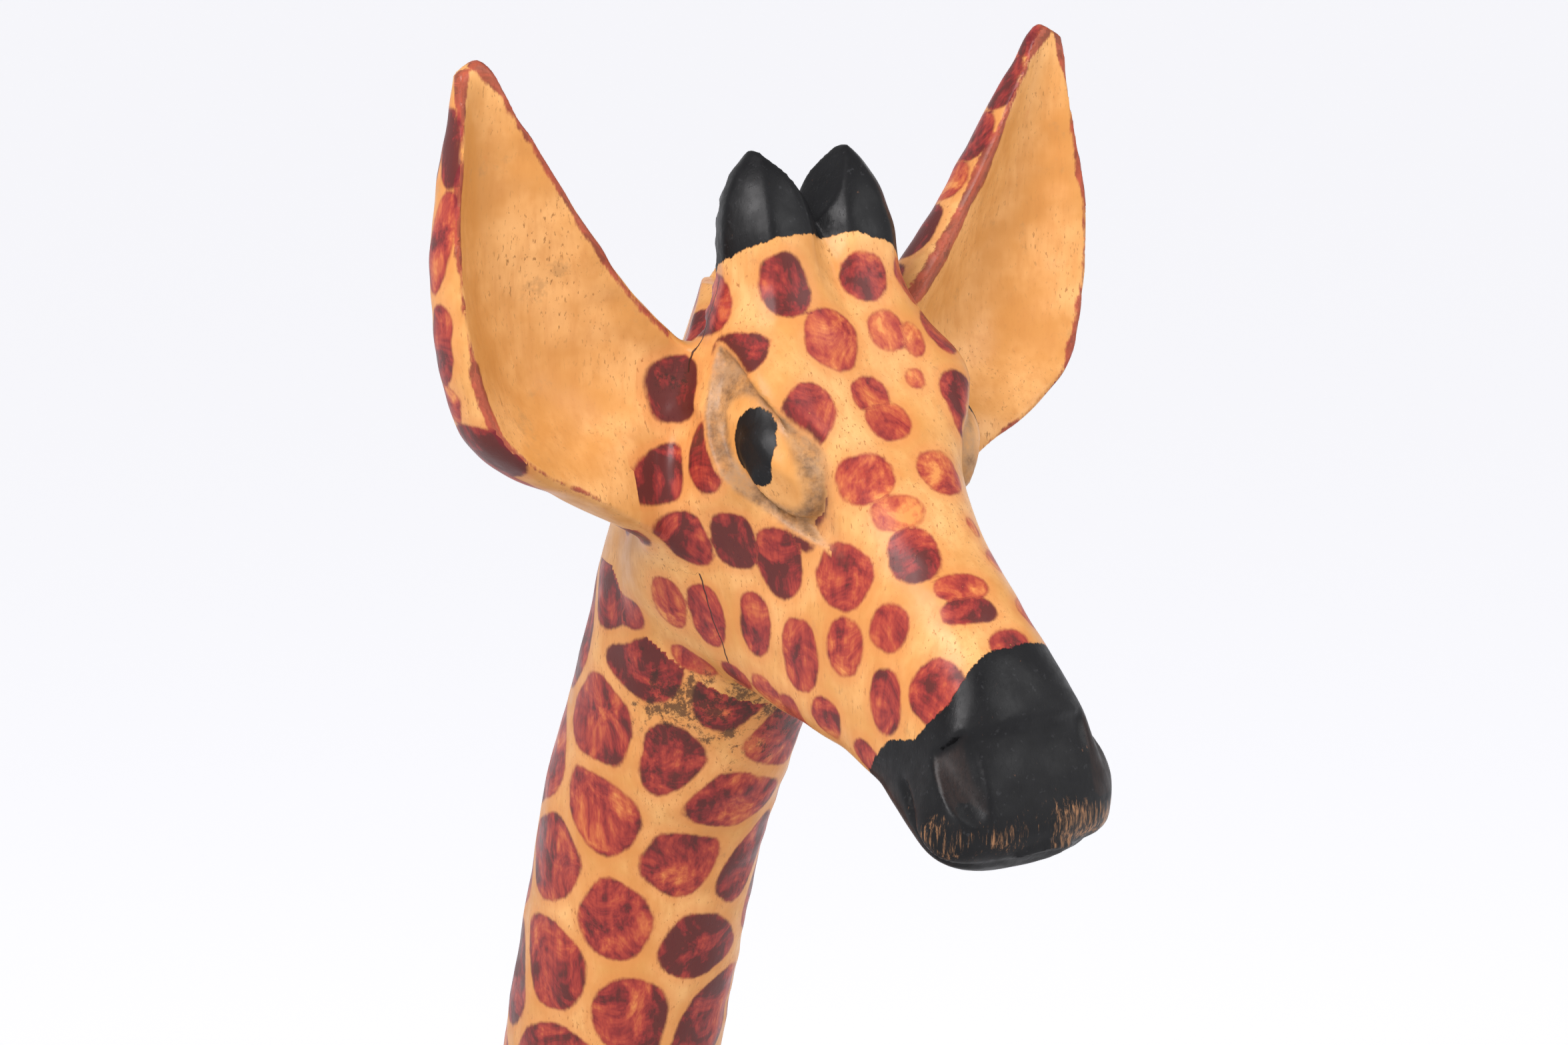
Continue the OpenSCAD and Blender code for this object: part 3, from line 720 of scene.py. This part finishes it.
def segment_gap(p, a, b):
    """Signed distance from a line through a and b in the side plane, only near it."""
    e = (b - a)[1:]
    long = np.linalg.norm(e)
    e = e / long
    w = p[:, 1:] - a[1:]
    along, off = w @ e, w[:, 0] * e[1] - w[:, 1] * e[0]
    same_side = p[:, 0] * a[0] > 0
    return np.where((along > 0) & (along < long) & same_side, off, NO_CRACK)


def joint_stain(p):
    """Dark paint rubbed over the top of the right ear's joint."""
    return 0.75 * np.exp(-(((p - head_point(9, -37, 5)) / (9, 7, 9)) ** 2).sum(1))


ROOT_SPOTS = []  # spots near the ear joints, painted across both pieces


def paint_head(ob):
    pt = Paint(ob)
    p = pt.p
    t, n = head_coords(p[:, 1], p[:, 2])
    for along, up, half_up, half_side, lean, tone in SIDE_SPOTS:
        for side in (-1, 1):
            left = side > 0
            r = np.random.default_rng(int(along * 31 + up * 7) & 1023)
            shift = r.uniform(-2.5, 2.5, 2) * left
            row = curve(HEAD_ROWS, along)
            c = head_point(along + shift[0], side * row[1], up + shift[1])
            by_ear = along < 42
            out = np.array([side, -0.35, 0]) / math.hypot(1, 0.35)
            placed = (c, out) if by_ear else pt.nearest(c)
            spot = (c, half_up, half_side, lean * -side, tone + 0.12 * left, 13, placed)
            pt.oval(*spot)
            if by_ear:
                ROOT_SPOTS.append(spot)
    for along, sideways, half_up, half_side, lean, tone in TOP_SPOTS:
        row = curve(HEAD_ROWS, along)
        pt.oval(head_point(along, sideways, row[2] - 2), half_up, half_side, lean, tone)
    neck = (p[:, 2] < POLL[2] - 96) & ((t < 20) | (n < -60))
    pt.patches(neck_sites(), 1.7, neck, 7)
    jaw = curve(HEAD_ROWS, t)[:, 3]
    on_jaw = (pt.n[:, 2] < -0.3) & (t > 34) & (t < 112) & (n > jaw - 4)
    under = scattered(p[on_jaw & (np.abs(p[:, 0]) < 20) & (p[:, 1] < POLL[1] + 4)], 17, 8)
    for c in under:
        pt.oval(c, 6.5, 5.5, 10, 0.5)
    # The back of the head, down to the first patches of the neck.
    behind = (pt.n[:, 1] > 0.35) & (np.abs(p[:, 0]) < 33) & (p[:, 1] > POLL[1] + 10)
    behind = behind & (p[:, 2] < POLL[2] - 27) & (p[:, 2] > POLL[2] - 88)
    for k, c in enumerate(scattered(p[behind], 17, 12)):
        pt.oval(c, 6.6 + k % 3, 5.6 + k % 2, 0, 0.2 + 0.1 * (k % 4))
    # Black on the horns, down to a line that drops to the back and the left side.
    line = HORN_PAINT + 7.5 * step01(p[:, 0], 4, 24)
    horn = (p[:, 2] - POLL[2] + 0.58 * (p[:, 1] - POLL[1]) + line) * 0.87
    horn = np.minimum(horn, POLL[1] + np.where(p[:, 0] < 0, 7, 13) - p[:, 1])
    # Black on the nose, with a border that is lower at the corners.
    top = step01(n, 8, 24)
    border = 118 - 9 * top * (1 - step01(np.abs(p[:, 0] - 5), 10, 30)) - 5 * step01(-n, -8, 4)
    nose = t - border
    pt.other["black"] = np.maximum(np.where(t < 60, horn, NO_PAINT),
                                   np.where((t > 90) & (n > -50), nose, NO_PAINT))
    # The worn edge of the upper lip.
    band = np.exp(-((n - 8 + 0.009 * p[:, 0] ** 2) / 4.2) ** 4) * step01(t, 133, 140)
    rubbed = band * (0.30 + 0.26 * step01(p[:, 0], -8, 10) + 0.14 * ripple(*p.T, 12, 21))
    # Brown wood shows through the thin black in the nostrils, stored below zero.
    for side in (-1, 1):
        off, s = along_nostril(*p.T, side)
        gouge = step01(-off - 0.24 * s, -11.8, -10.6) * step01(t, 124, 128)
        rubbed = rubbed - gouge * (band < 0.2)
    torn = (p[:, 0] < -2) & (p[:, 1] > POLL[1] + 1.5) & (p[:, 2] > POLL[2] - 22)
    pt.other["worn"] = np.where(torn & (pt.n[:, 1] > 0.75), 0.8, rubbed)
    u, v, lid = almond(t, n)
    side_on = step01(np.abs(p[:, 0]), 20, 24)
    # A dirty wash in a ring round the eyeball.
    ring = step01(-lid, -0.6, 0.8) * step01(np.hypot(u / 15.5, v / 7.6), 0.92, 1.12)
    pt.other["wash"] = ring * side_on
    # The painted pupil.
    dy, dz = from_eye(t, n)
    a = math.radians(16)
    du, dv = dz * math.cos(a) + dy * math.sin(a), dy * math.cos(a) - dz * math.sin(a)
    rho = np.hypot((du + 1.1) / 9.7, (dv - 0.6) / 6.6)
    r = np.hypot(du, dv)
    pt.other["eye"] = np.where(side_on > 0.5, r / np.maximum(rho, 1e-3) - r, NO_PAINT)
    pt.spot = np.where(side_on > 0.5, np.minimum(pt.spot, lid - 0.3), pt.spot)
    # Painted shade in the crease under the jaw, with dark specks.
    crease = np.exp(-((p[:, 2] - POLL[2] + 130) / 21) ** 2) * step01(POLL[1] - p[:, 1], -52, -20)
    crease = crease * step01(jaw - n, -7, 1)
    # The smudge layer holds this painted shade under the jaw and the dark paint over the ear joint.
    pt.other["smudge_and_shade"] = np.maximum(crease, joint_stain(p))
    # Two drying cracks on the right side, behind the eye and on the cheek.
    for (t0, n0), (t1, n1) in (((-8, 28), (9, 11)), ((46, -24), (64, -42))):
        gap = segment_gap(p, head_point(t0, -30, n0), head_point(t1, -30, n1))
        crack = pt.other["crack"]
        pt.other["crack"] = np.where(np.abs(gap) < np.abs(crack), gap, crack)
    pt.store()


# Blotches on the outside of the ear's edges: share, angle, two half sizes, tone.
EAR_BLOTCHES = [
    (0.14, -8, 6, 6, 0.5), (0.27, -2, 10, 11, 0.1), (0.40, -12, 5, 5, 0.45),
    (0.53, -8, 10, 5.5, 0.2), (0.72, -5, 11, 5, 0.45), (0.89, 0, 8, 4.5, 0.1),
    (0.11, 200, 6, 6, 0.4), (0.27, 197, 8.5, 8, 0.1), (0.435, 194, 9, 8, -0.05),
    (0.575, 191, 6.5, 7, 0.7), (0.70, 189, 8, 7, 0.2), (0.85, 186, 9, 6, 0.15),
    (0.96, 182, 5, 5, 0.0)]


def ear_edge(share, angle, side):
    """A point on the outside of an ear, with the way it faces."""
    ring = ear_section(share, 360)
    i = int(angle) % 360
    along = ring[(i + 3) % 360] - ring[i - 3]
    way = np.array([along[1], -along[0]]) / np.linalg.norm(along)
    p = EAR_ROOT + EAR_AXIS * share * EAR_LENGTH + EAR_ACROSS * ring[i, 0] + EAR_FRONT * ring[i, 1]
    out = EAR_ACROSS * way[0] + EAR_FRONT * way[1]
    return p * (side, 1, 1), out * (side, 1, 1)


def paint_ear(ob, side):
    pt = Paint(ob)
    along, across, front = ear_coords(pt.p)
    share = along / EAR_LENGTH
    row = curve(EAR_ROWS, share)
    outer, inner = row[:, 1], row[:, 2]
    half = (outer - inner) / 2
    c = (across - (outer + inner) / 2) / np.maximum(half, 1)
    facing = pt.n @ (EAR_FRONT * (side, 1, 1))
    crest = row[:, 4] - 0.07 * row[:, 5]
    off = np.hypot((np.abs(c) - 0.91) * half, front - crest)
    outer_line = 0.9 + 1.1 * step01(np.sin(share * 17 + 1.0), -0.2, 0.6)
    inner_line = 1.5 + 1.9 * (side > 0) * step01(share, 0.0, 0.12) * step01(-share, -0.8, -0.6)
    wide = np.where(c > 0, outer_line, inner_line) * step01(share, -0.02, 0.12)
    pt.other["rim"] = wide + 2.2 * step01(share, 0.90, 0.98) - off
    r = np.random.default_rng(3)
    back = (facing < -0.3) & (share > 0.0) & (share < 0.93) & (np.abs(c) < 0.72)
    for spot in scattered(pt.p[back], 21, 4 + side):
        pt.oval(spot, r.uniform(6, 9), r.uniform(4.5, 6.5), r.uniform(-20, 20),
                r.uniform(0.1, 0.45), 8)
    ear_lean = math.degrees(math.atan2(EAR_AXIS[0], EAR_AXIS[2]))
    for k, (at, angle, half_up, half_side, tone) in enumerate(EAR_BLOTCHES):
        placed = ear_edge(at, angle, side)
        lean = ear_lean if placed[1][1] > 0 else -ear_lean
        pt.oval(placed[0] + 0.01 * k, half_up, half_side, lean * side * 0.6, tone, 9, placed)
    inside = (np.abs(c) - np.where((c > 0) & (share < 0.36), 0.70, 0.88)) * half
    pt.spot = np.where(front > crest - 3, np.minimum(pt.spot, inside), pt.spot)
    for spot in ROOT_SPOTS:
        if spot[0][0] * side > 0:
            pt.oval(*spot)
    dark = 0.5 * step01(share, 0.90, 0.98) + 0.6 * step01(-facing, -0.2, 0.4) * (
        ripple(*pt.p.T, 16, 9) > 0.75)
    pt.other["smudge_and_shade"] = np.maximum(dark, joint_stain(pt.p))
    pt.store()


def paint_body(ob):
    pt = Paint(ob)
    sites = neck_sites()
    low = scattered(pt.p[pt.p[:, 2] < POLL[2] - 600],
                    lambda q: 37 - 12 * step01(POLL[2] - 700 - q[:, 2], 0, 70), 2)
    keep = sites[sites[:, 2] > POLL[2] - 618]
    pt.patches(np.concatenate([keep, low]), 2.1, np.ones(len(pt.p), bool), 8)
    # The last patches round off just above the leg joints.
    pt.spot = join(pt.spot, pt.p[:, 2] - (POLL[2] + LEG_SEAT) - 1.0, 9)
    pt.store()


def paint_leg(ob):
    pt = Paint(ob)
    low = POLL[2] + LEG_SEAT

    def gap(q):
        return 15 + 10 * np.clip((q[:, 2] - 90) / (low - 90), 0, 1) ** 1.5

    spots = scattered(pt.p[(pt.p[:, 2] > 95) & (pt.p[:, 2] < low - 4)], gap, 6)
    r = np.random.default_rng(9)
    for c in spots:
        size = 3.8 + 5.6 * np.clip((c[2] - 90) / (low - 90), 0, 1)
        pt.oval(c, size * 1.25, size * 0.95, r.uniform(-15, 15), r.uniform(0.15, 0.5), 9)
    pt.other["black"] = POLL[2] + HOOF - pt.p[:, 2]
    pt.store()


def paint_tail(ob):
    pt = Paint(ob)
    pt.other["black"] = POLL[2] + TAIL_AT - TAIL_DROP * 0.70 - pt.p[:, 2]
    pt.store()


paint_head(head)
for side, ob in ears.items():
    paint_ear(ob, side)
paint_body(body)
for ob in legs.values():
    paint_leg(ob)
paint_tail(tail)


# ---------------------------------------------------------------- materials
class Nodes:
    """Short names for building a shader."""

    def __init__(self, name):
        self.mat = bpy.data.materials.new(name)
        self.mat.use_nodes = True
        self.tree = self.mat.node_tree
        self.shader = self.tree.nodes["Principled BSDF"]
        self.coords = self.tree.nodes.new("ShaderNodeTexCoord").outputs["Object"]

    def new(self, kind, **inputs):
        node = self.tree.nodes.new(kind)
        for key, value in inputs.items():
            self.put(node.inputs[key], value)
        return node

    def put(self, socket, value):
        if isinstance(value, bpy.types.NodeSocket):
            self.tree.links.new(value, socket)
        else:
            socket.default_value = value

    def value(self, name):
        node = self.tree.nodes.new("ShaderNodeAttribute")
        node.attribute_name = name
        return node.outputs["Fac"]

    def set(self, name, value):
        self.put(self.shader.inputs[name], value)

    def math(self, op, a, b=0.0, kind="ShaderNodeMath"):
        node = self.tree.nodes.new(kind)
        node.operation = op
        self.put(node.inputs[0], a)
        self.put(node.inputs[1], b)
        return node.outputs[0]

    def plus(self, a, b, times):
        return self.math("ADD", a, self.math("MULTIPLY", b, times))

    def bump(self, height, strength, distance):
        node = self.new("ShaderNodeBump", Height=height, Strength=strength, Distance=distance)
        self.set("Normal", node.outputs[0])

    def ramp(self, x, lo, hi, a=0.0, b=1.0):
        node = self.tree.nodes.new("ShaderNodeMapRange")
        node.interpolation_type = "SMOOTHSTEP"
        for key, value in (("Value", x), ("From Min", lo), ("From Max", hi),
                           ("To Min", a), ("To Max", b)):
            self.put(node.inputs[key], value)
        return node.outputs["Result"]

    def mix(self, share, a, b):
        node = self.tree.nodes.new("ShaderNodeMix")
        node.data_type = "RGBA"
        self.put(node.inputs[0], share)
        self.put(node.inputs[6], a)
        self.put(node.inputs[7], b)
        return node.outputs[2]

    def grained(self, lengthwise):
        """Coordinates that draw noise out along the height, more so for a smaller share."""
        return self.new("ShaderNodeMapping", Vector=self.coords, Scale=(1, 1, lengthwise)).outputs[0]

    def noise(self, where, scale, detail, rough, twist=0.0):
        node = self.new("ShaderNodeTexNoise", Vector=where, Scale=scale, Detail=detail,
                        Roughness=rough, Distortion=twist)
        return node.outputs["Fac"]


def painted_wood():
    k = Nodes("painted_wood")
    obj = k.coords
    spot, tone, seed = k.value("spot"), k.value("tone"), k.value("seed")
    # Ochre stain: broad changes, lengthwise streaks, pores and pin holes.
    broad = k.noise(obj, 38, 4, 0.6)
    streak = k.noise(k.grained(0.14), 420, 3, 0.6)
    fine = k.noise(k.grained(0.3), 1500, 2, 0.6)
    base = k.mix(k.ramp(broad, 0.35, 0.68), (0.58, 0.26, 0.068, 1), (0.75, 0.395, 0.145, 1))
    base = k.mix(k.math("MULTIPLY", k.ramp(streak, 0.40, 0.75), 0.45), base, (0.53, 0.22, 0.055, 1))
    pores = k.math("MULTIPLY", k.ramp(fine, 0.60, 0.70), k.ramp(broad, 0.40, 0.62, 0.15, 0.9))
    base = k.mix(pores, base, (0.33, 0.15, 0.045, 1))
    dirt = k.noise(obj, 70, 5, 0.75)
    base = k.mix(k.ramp(dirt, 0.60, 0.72, 0, 0.5), base, (0.42, 0.22, 0.08, 1))
    # Spots: an uneven outline with bristle marks, then a mottled fill.
    wobble = k.math("SUBTRACT", k.noise(obj, 95, 3, 0.55), 0.5)
    bristle = k.math("SUBTRACT", k.noise(k.grained(0.35), 620, 3, 0.65), 0.5)
    edge = k.plus(k.plus(spot, wobble, 2.6), bristle, 1.1)
    covered = k.ramp(edge, -0.35, 0.85)
    shift = k.new("ShaderNodeCombineXYZ", X=seed, Y=seed, Z=seed)
    moved = k.math("ADD", obj, shift.outputs[0], "ShaderNodeVectorMath")
    swirl = k.noise(moved, 80, 4, 0.66, 0.7)
    rubbed = k.noise(k.grained(0.25), 300, 4, 0.7)
    pale = k.plus(k.math("MULTIPLY", tone, 0.85), k.math("SUBTRACT", swirl, 0.5), 2.7)
    pale = k.plus(pale, k.math("SUBTRACT", rubbed, 0.5), 1.1)
    fill = k.new("ShaderNodeValToRGB", Fac=pale)
    ramp = fill.color_ramp
    ramp.elements[0].position, ramp.elements[0].color = 0.0, (0.075, 0.008, 0.015, 1)
    ramp.elements[1].position, ramp.elements[1].color = 1.0, (0.66, 0.25, 0.07, 1)
    for at, colour in ((0.22, (0.21, 0.014, 0.022, 1)), (0.45, (0.35, 0.038, 0.030, 1)),
                       (0.72, (0.50, 0.11, 0.042, 1))):
        ramp.elements.new(at).color = colour
    rim_dark = k.ramp(edge, 0.2, 1.6, 0.35, 0.0)
    fill = k.mix(rim_dark, fill.outputs[0], (0.16, 0.016, 0.014, 1))
    # The stain bleeds a little way into the wood round each spot.
    base = k.mix(k.ramp(edge, -3.6, -0.2, 0.0, 0.42), base, (0.60, 0.205, 0.055, 1))
    colour = k.mix(k.math("MULTIPLY", covered, 0.95), base, fill)
    # Red ear rims.
    rim = k.plus(k.plus(k.value("rim"), bristle, 2.6), wobble, 2.2)
    red = k.mix(k.ramp(swirl, 0.4, 0.6), (0.15, 0.012, 0.018, 1), (0.36, 0.045, 0.035, 1))
    colour = k.mix(k.ramp(rim, -0.2, 0.7, 0, 0.85), colour, red)
    # Smudges of dark paint and the painted shade under the jaw, then a dirty wash round the eye.
    smudge_and_shade = k.value("smudge_and_shade")
    soot_and_shade = k.plus(smudge_and_shade, k.math("SUBTRACT", k.noise(obj, 210, 5, 0.8), 0.62), 3.2)
    soot_and_shade = k.math("MULTIPLY", k.ramp(soot_and_shade, 0.35, 0.75, 0, 0.82), k.ramp(smudge_and_shade, 0.02, 0.3))
    # Darkens the colour for the painted shade under the jaw and for the smudges of dark paint.
    colour = k.mix(soot_and_shade, colour, (0.040, 0.020, 0.014, 1))
    mottled = k.ramp(k.noise(obj, 160, 5, 0.7), 0.30, 0.62, 0.35, 0.95)
    brown = k.mix(k.ramp(dirt, 0.40, 0.60), (0.36, 0.215, 0.115, 1), (0.15, 0.08, 0.042, 1))
    colour = k.mix(k.math("MULTIPLY", k.value("wash"), mottled), colour, brown)
    # Black paint with ragged edges, rubbed through where it is worn.
    black_edge = k.plus(k.plus(k.value("black"), wobble, 3.2), bristle, 2.4)
    eye_edge = k.plus(k.value("eye"), bristle, 2.4)
    black = k.math("MAXIMUM", k.ramp(black_edge, -0.15, 0.35), k.ramp(eye_edge, -0.1, 0.3))
    chips = k.ramp(k.noise(k.grained(0.3), 520, 4, 0.7), 0.69, 0.73)
    grey = k.mix(k.noise(obj, 240, 4, 0.7), (0.003, 0.003, 0.0035, 1), (0.008, 0.008, 0.009, 1))
    grey = k.mix(k.ramp(k.noise(obj, 700, 2, 0.5), 0.64, 0.74, 0, 0.2), grey, (0.07, 0.07, 0.075, 1))
    grey = k.mix(k.math("MULTIPLY", chips, 0.45), grey, (0.20, 0.09, 0.045, 1))
    grain = k.noise(k.grained(0.10), 1250, 4, 0.75)
    rub = k.value("worn")
    worn = k.ramp(k.plus(rub, k.math("SUBTRACT", grain, 0.5), 1.5), 0.30, 0.74, 0, 0.92)
    bare = k.mix(k.ramp(grain, 0.42, 0.62), (0.070, 0.045, 0.032, 1), (0.37, 0.18, 0.082, 1))
    thin = k.math("MULTIPLY", k.ramp(rub, -0.8, -0.1, 0.85, 0), k.ramp(grain, 0.35, 0.60, 0.45, 1))
    grey = k.mix(thin, grey, (0.021, 0.012, 0.010, 1))
    grey = k.mix(worn, grey, bare)
    colour = k.mix(black, colour, grey)
    # Drying cracks.
    across = k.plus(k.value("crack"), wobble, 3.0)
    open_crack = k.ramp(k.math("ABSOLUTE", across), 0.10, 0.32, 1, 0)
    colour = k.mix(open_crack, colour, (0.05, 0.018, 0.012, 1))
    k.set("Base Color", colour)
    # Waxed satin over the stain, duller over the black.
    polish = k.ramp(k.noise(obj, 130, 5, 0.65), 0.3, 0.7, 0.30, 0.47)
    rough = k.new("ShaderNodeMix")
    rough.data_type = "FLOAT"
    k.put(rough.inputs[0], black)
    k.put(rough.inputs[2], polish)
    k.put(rough.inputs[3], k.ramp(k.noise(obj, 180, 4, 0.6), 0.3, 0.7, 0.36, 0.60))
    k.set("Roughness", rough.outputs[0])
    k.set("Coat Weight", 0.10)
    k.set("Coat Roughness", 0.24)
    k.set("Specular IOR Level", 0.17)
    # Surface: knife marks, grain, raised paint and open cracks.
    brushed = k.plus(0.25, k.noise(k.grained(0.4), 520, 3, 0.6), 0.55)
    height = k.math("MULTIPLY", streak, 0.30)
    for part, share in ((k.noise(obj, 160, 4, 0.6), 0.35), (pores, -0.25), (covered, 0.12),
                        (brushed, black), (open_crack, -1.2)):
        height = k.plus(height, part, share)
    k.bump(height, 0.5, 0.0004)
    return k.mat


def bare_wood():
    k = Nodes("bare_wood")
    grain = k.noise(k.grained(0.08), 380, 4, 0.65)
    rings = k.noise(k.coords, 60, 3, 0.5, 1.0)
    colour = k.mix(k.ramp(grain, 0.35, 0.65), (0.62, 0.42, 0.22, 1), (0.42, 0.25, 0.12, 1))
    colour = k.mix(k.ramp(rings, 0.45, 0.6, 0, 0.4), colour, (0.72, 0.52, 0.30, 1))
    k.set("Base Color", colour)
    k.set("Roughness", k.ramp(grain, 0.3, 0.7, 0.6, 0.78))
    k.bump(grain, 0.3, 0.0003)
    return k.mat


PAINTED, BARE = painted_wood(), bare_wood()
carved = {"head_and_neck": head, "left_ear": ears[1], "right_ear": ears[-1], "body": body,
          "tail": tail, **legs}
for node, ob in carved.items():
    ob.data.materials.clear()
    ob.data.materials.append(PAINTED)
    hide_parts(node)
    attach(ob, "root")
for node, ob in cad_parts.items():
    if node not in carved:
        ob.data.materials.clear()
        ob.data.materials.append(BARE)


# ---------------------------------------------------------------- stage
def floor_material():
    """Pale floor that brightens away from the statue, like a lit backdrop."""
    k = Nodes("studio_floor")
    k.set("Base Color", (0.90, 0.90, 0.92, 1))
    k.set("Roughness", 0.9)
    far = k.new("ShaderNodeVectorMath")
    far.operation = "LENGTH"
    k.put(far.inputs[0], k.coords)
    k.set("Emission Color", (0.97, 0.97, 1.0, 1))
    k.set("Emission Strength", k.ramp(far.outputs["Value"], 0.7, 2.4, 0.0, 0.505))
    return k.mat


bpy.ops.mesh.primitive_plane_add(size=160, location=(0, 0, -0.0005))
floor = bpy.context.object
floor.name = "studio_floor"
floor.data.materials.append(floor_material())


def studio_world():
    """Bright near the horizon, softer overhead."""
    world = bpy.data.worlds.new("studio")
    world.use_nodes = True
    tree = world.node_tree
    back = tree.nodes["Background"]
    way = tree.nodes.new("ShaderNodeTexCoord")
    split = tree.nodes.new("ShaderNodeSeparateXYZ")
    level = tree.nodes.new("ShaderNodeMapRange")
    tree.links.new(way.outputs["Generated"], split.inputs[0])
    tree.links.new(split.outputs["Z"], level.inputs["Value"])
    for key, value in (("From Min", 0.12), ("From Max", 0.40), ("To Min", 1.0), ("To Max", 0.44)):
        level.inputs[key].default_value = value
    tree.links.new(level.outputs["Result"], back.inputs["Strength"])
    back.inputs["Color"].default_value = (0.97, 0.97, 1.0, 1)
    return world


bpy.context.scene.world = studio_world()

AIM = Vector((0.0, float(POLL[1] - 30) / 1000, float(POLL[2] - 40) / 1000))
CAMERA_AWAY = Vector((-0.57605, -0.73152, 0.11664))  # in metres, from the poll
CAMERA_AZIMUTH, CAMERA_ELEVATION = math.radians(-38), math.radians(12)


def direction(azimuth, elevation):
    """The way from the statue at an azimuth round from its front and an elevation."""
    return Vector((math.sin(azimuth) * math.cos(elevation),
                   -math.cos(azimuth) * math.cos(elevation), math.sin(elevation)))


def soft_light(name, azimuth, elevation, distance, size, power, colour=(1, 1, 1)):
    way = direction(math.radians(azimuth), math.radians(elevation))
    data = bpy.data.lights.new(name, "AREA")
    data.shape = "RECTANGLE"
    data.size, data.size_y = size
    data.energy = power
    data.color = colour
    ob = bpy.data.objects.new(name, data)
    ob.location = AIM + way * distance
    ob.rotation_euler = way.to_track_quat("Z", "Y").to_euler()
    bpy.context.scene.collection.objects.link(ob)


soft_light("key", -66, 42, 1.5, (0.9, 0.9), 27, (1.0, 0.975, 0.98))
soft_light("front", 30, 30, 2.0, (1.2, 1.2), 14)

scene = bpy.context.scene
scene.view_settings.view_transform = "Standard"
camera = bpy.data.cameras.new("photo_view")
camera.lens = 85
camera.sensor_width = 36
camera_ob = bpy.data.objects.new("photo_view", camera)
scene.collection.objects.link(camera_ob)
back = direction(CAMERA_AZIMUTH, CAMERA_ELEVATION)
camera_ob.location = Vector(POLL / 1000) + CAMERA_AWAY
camera_ob.rotation_euler = back.to_track_quat("Z", "Y").to_euler()
scene.camera = camera_ob

bpy.context.view_layer.update()
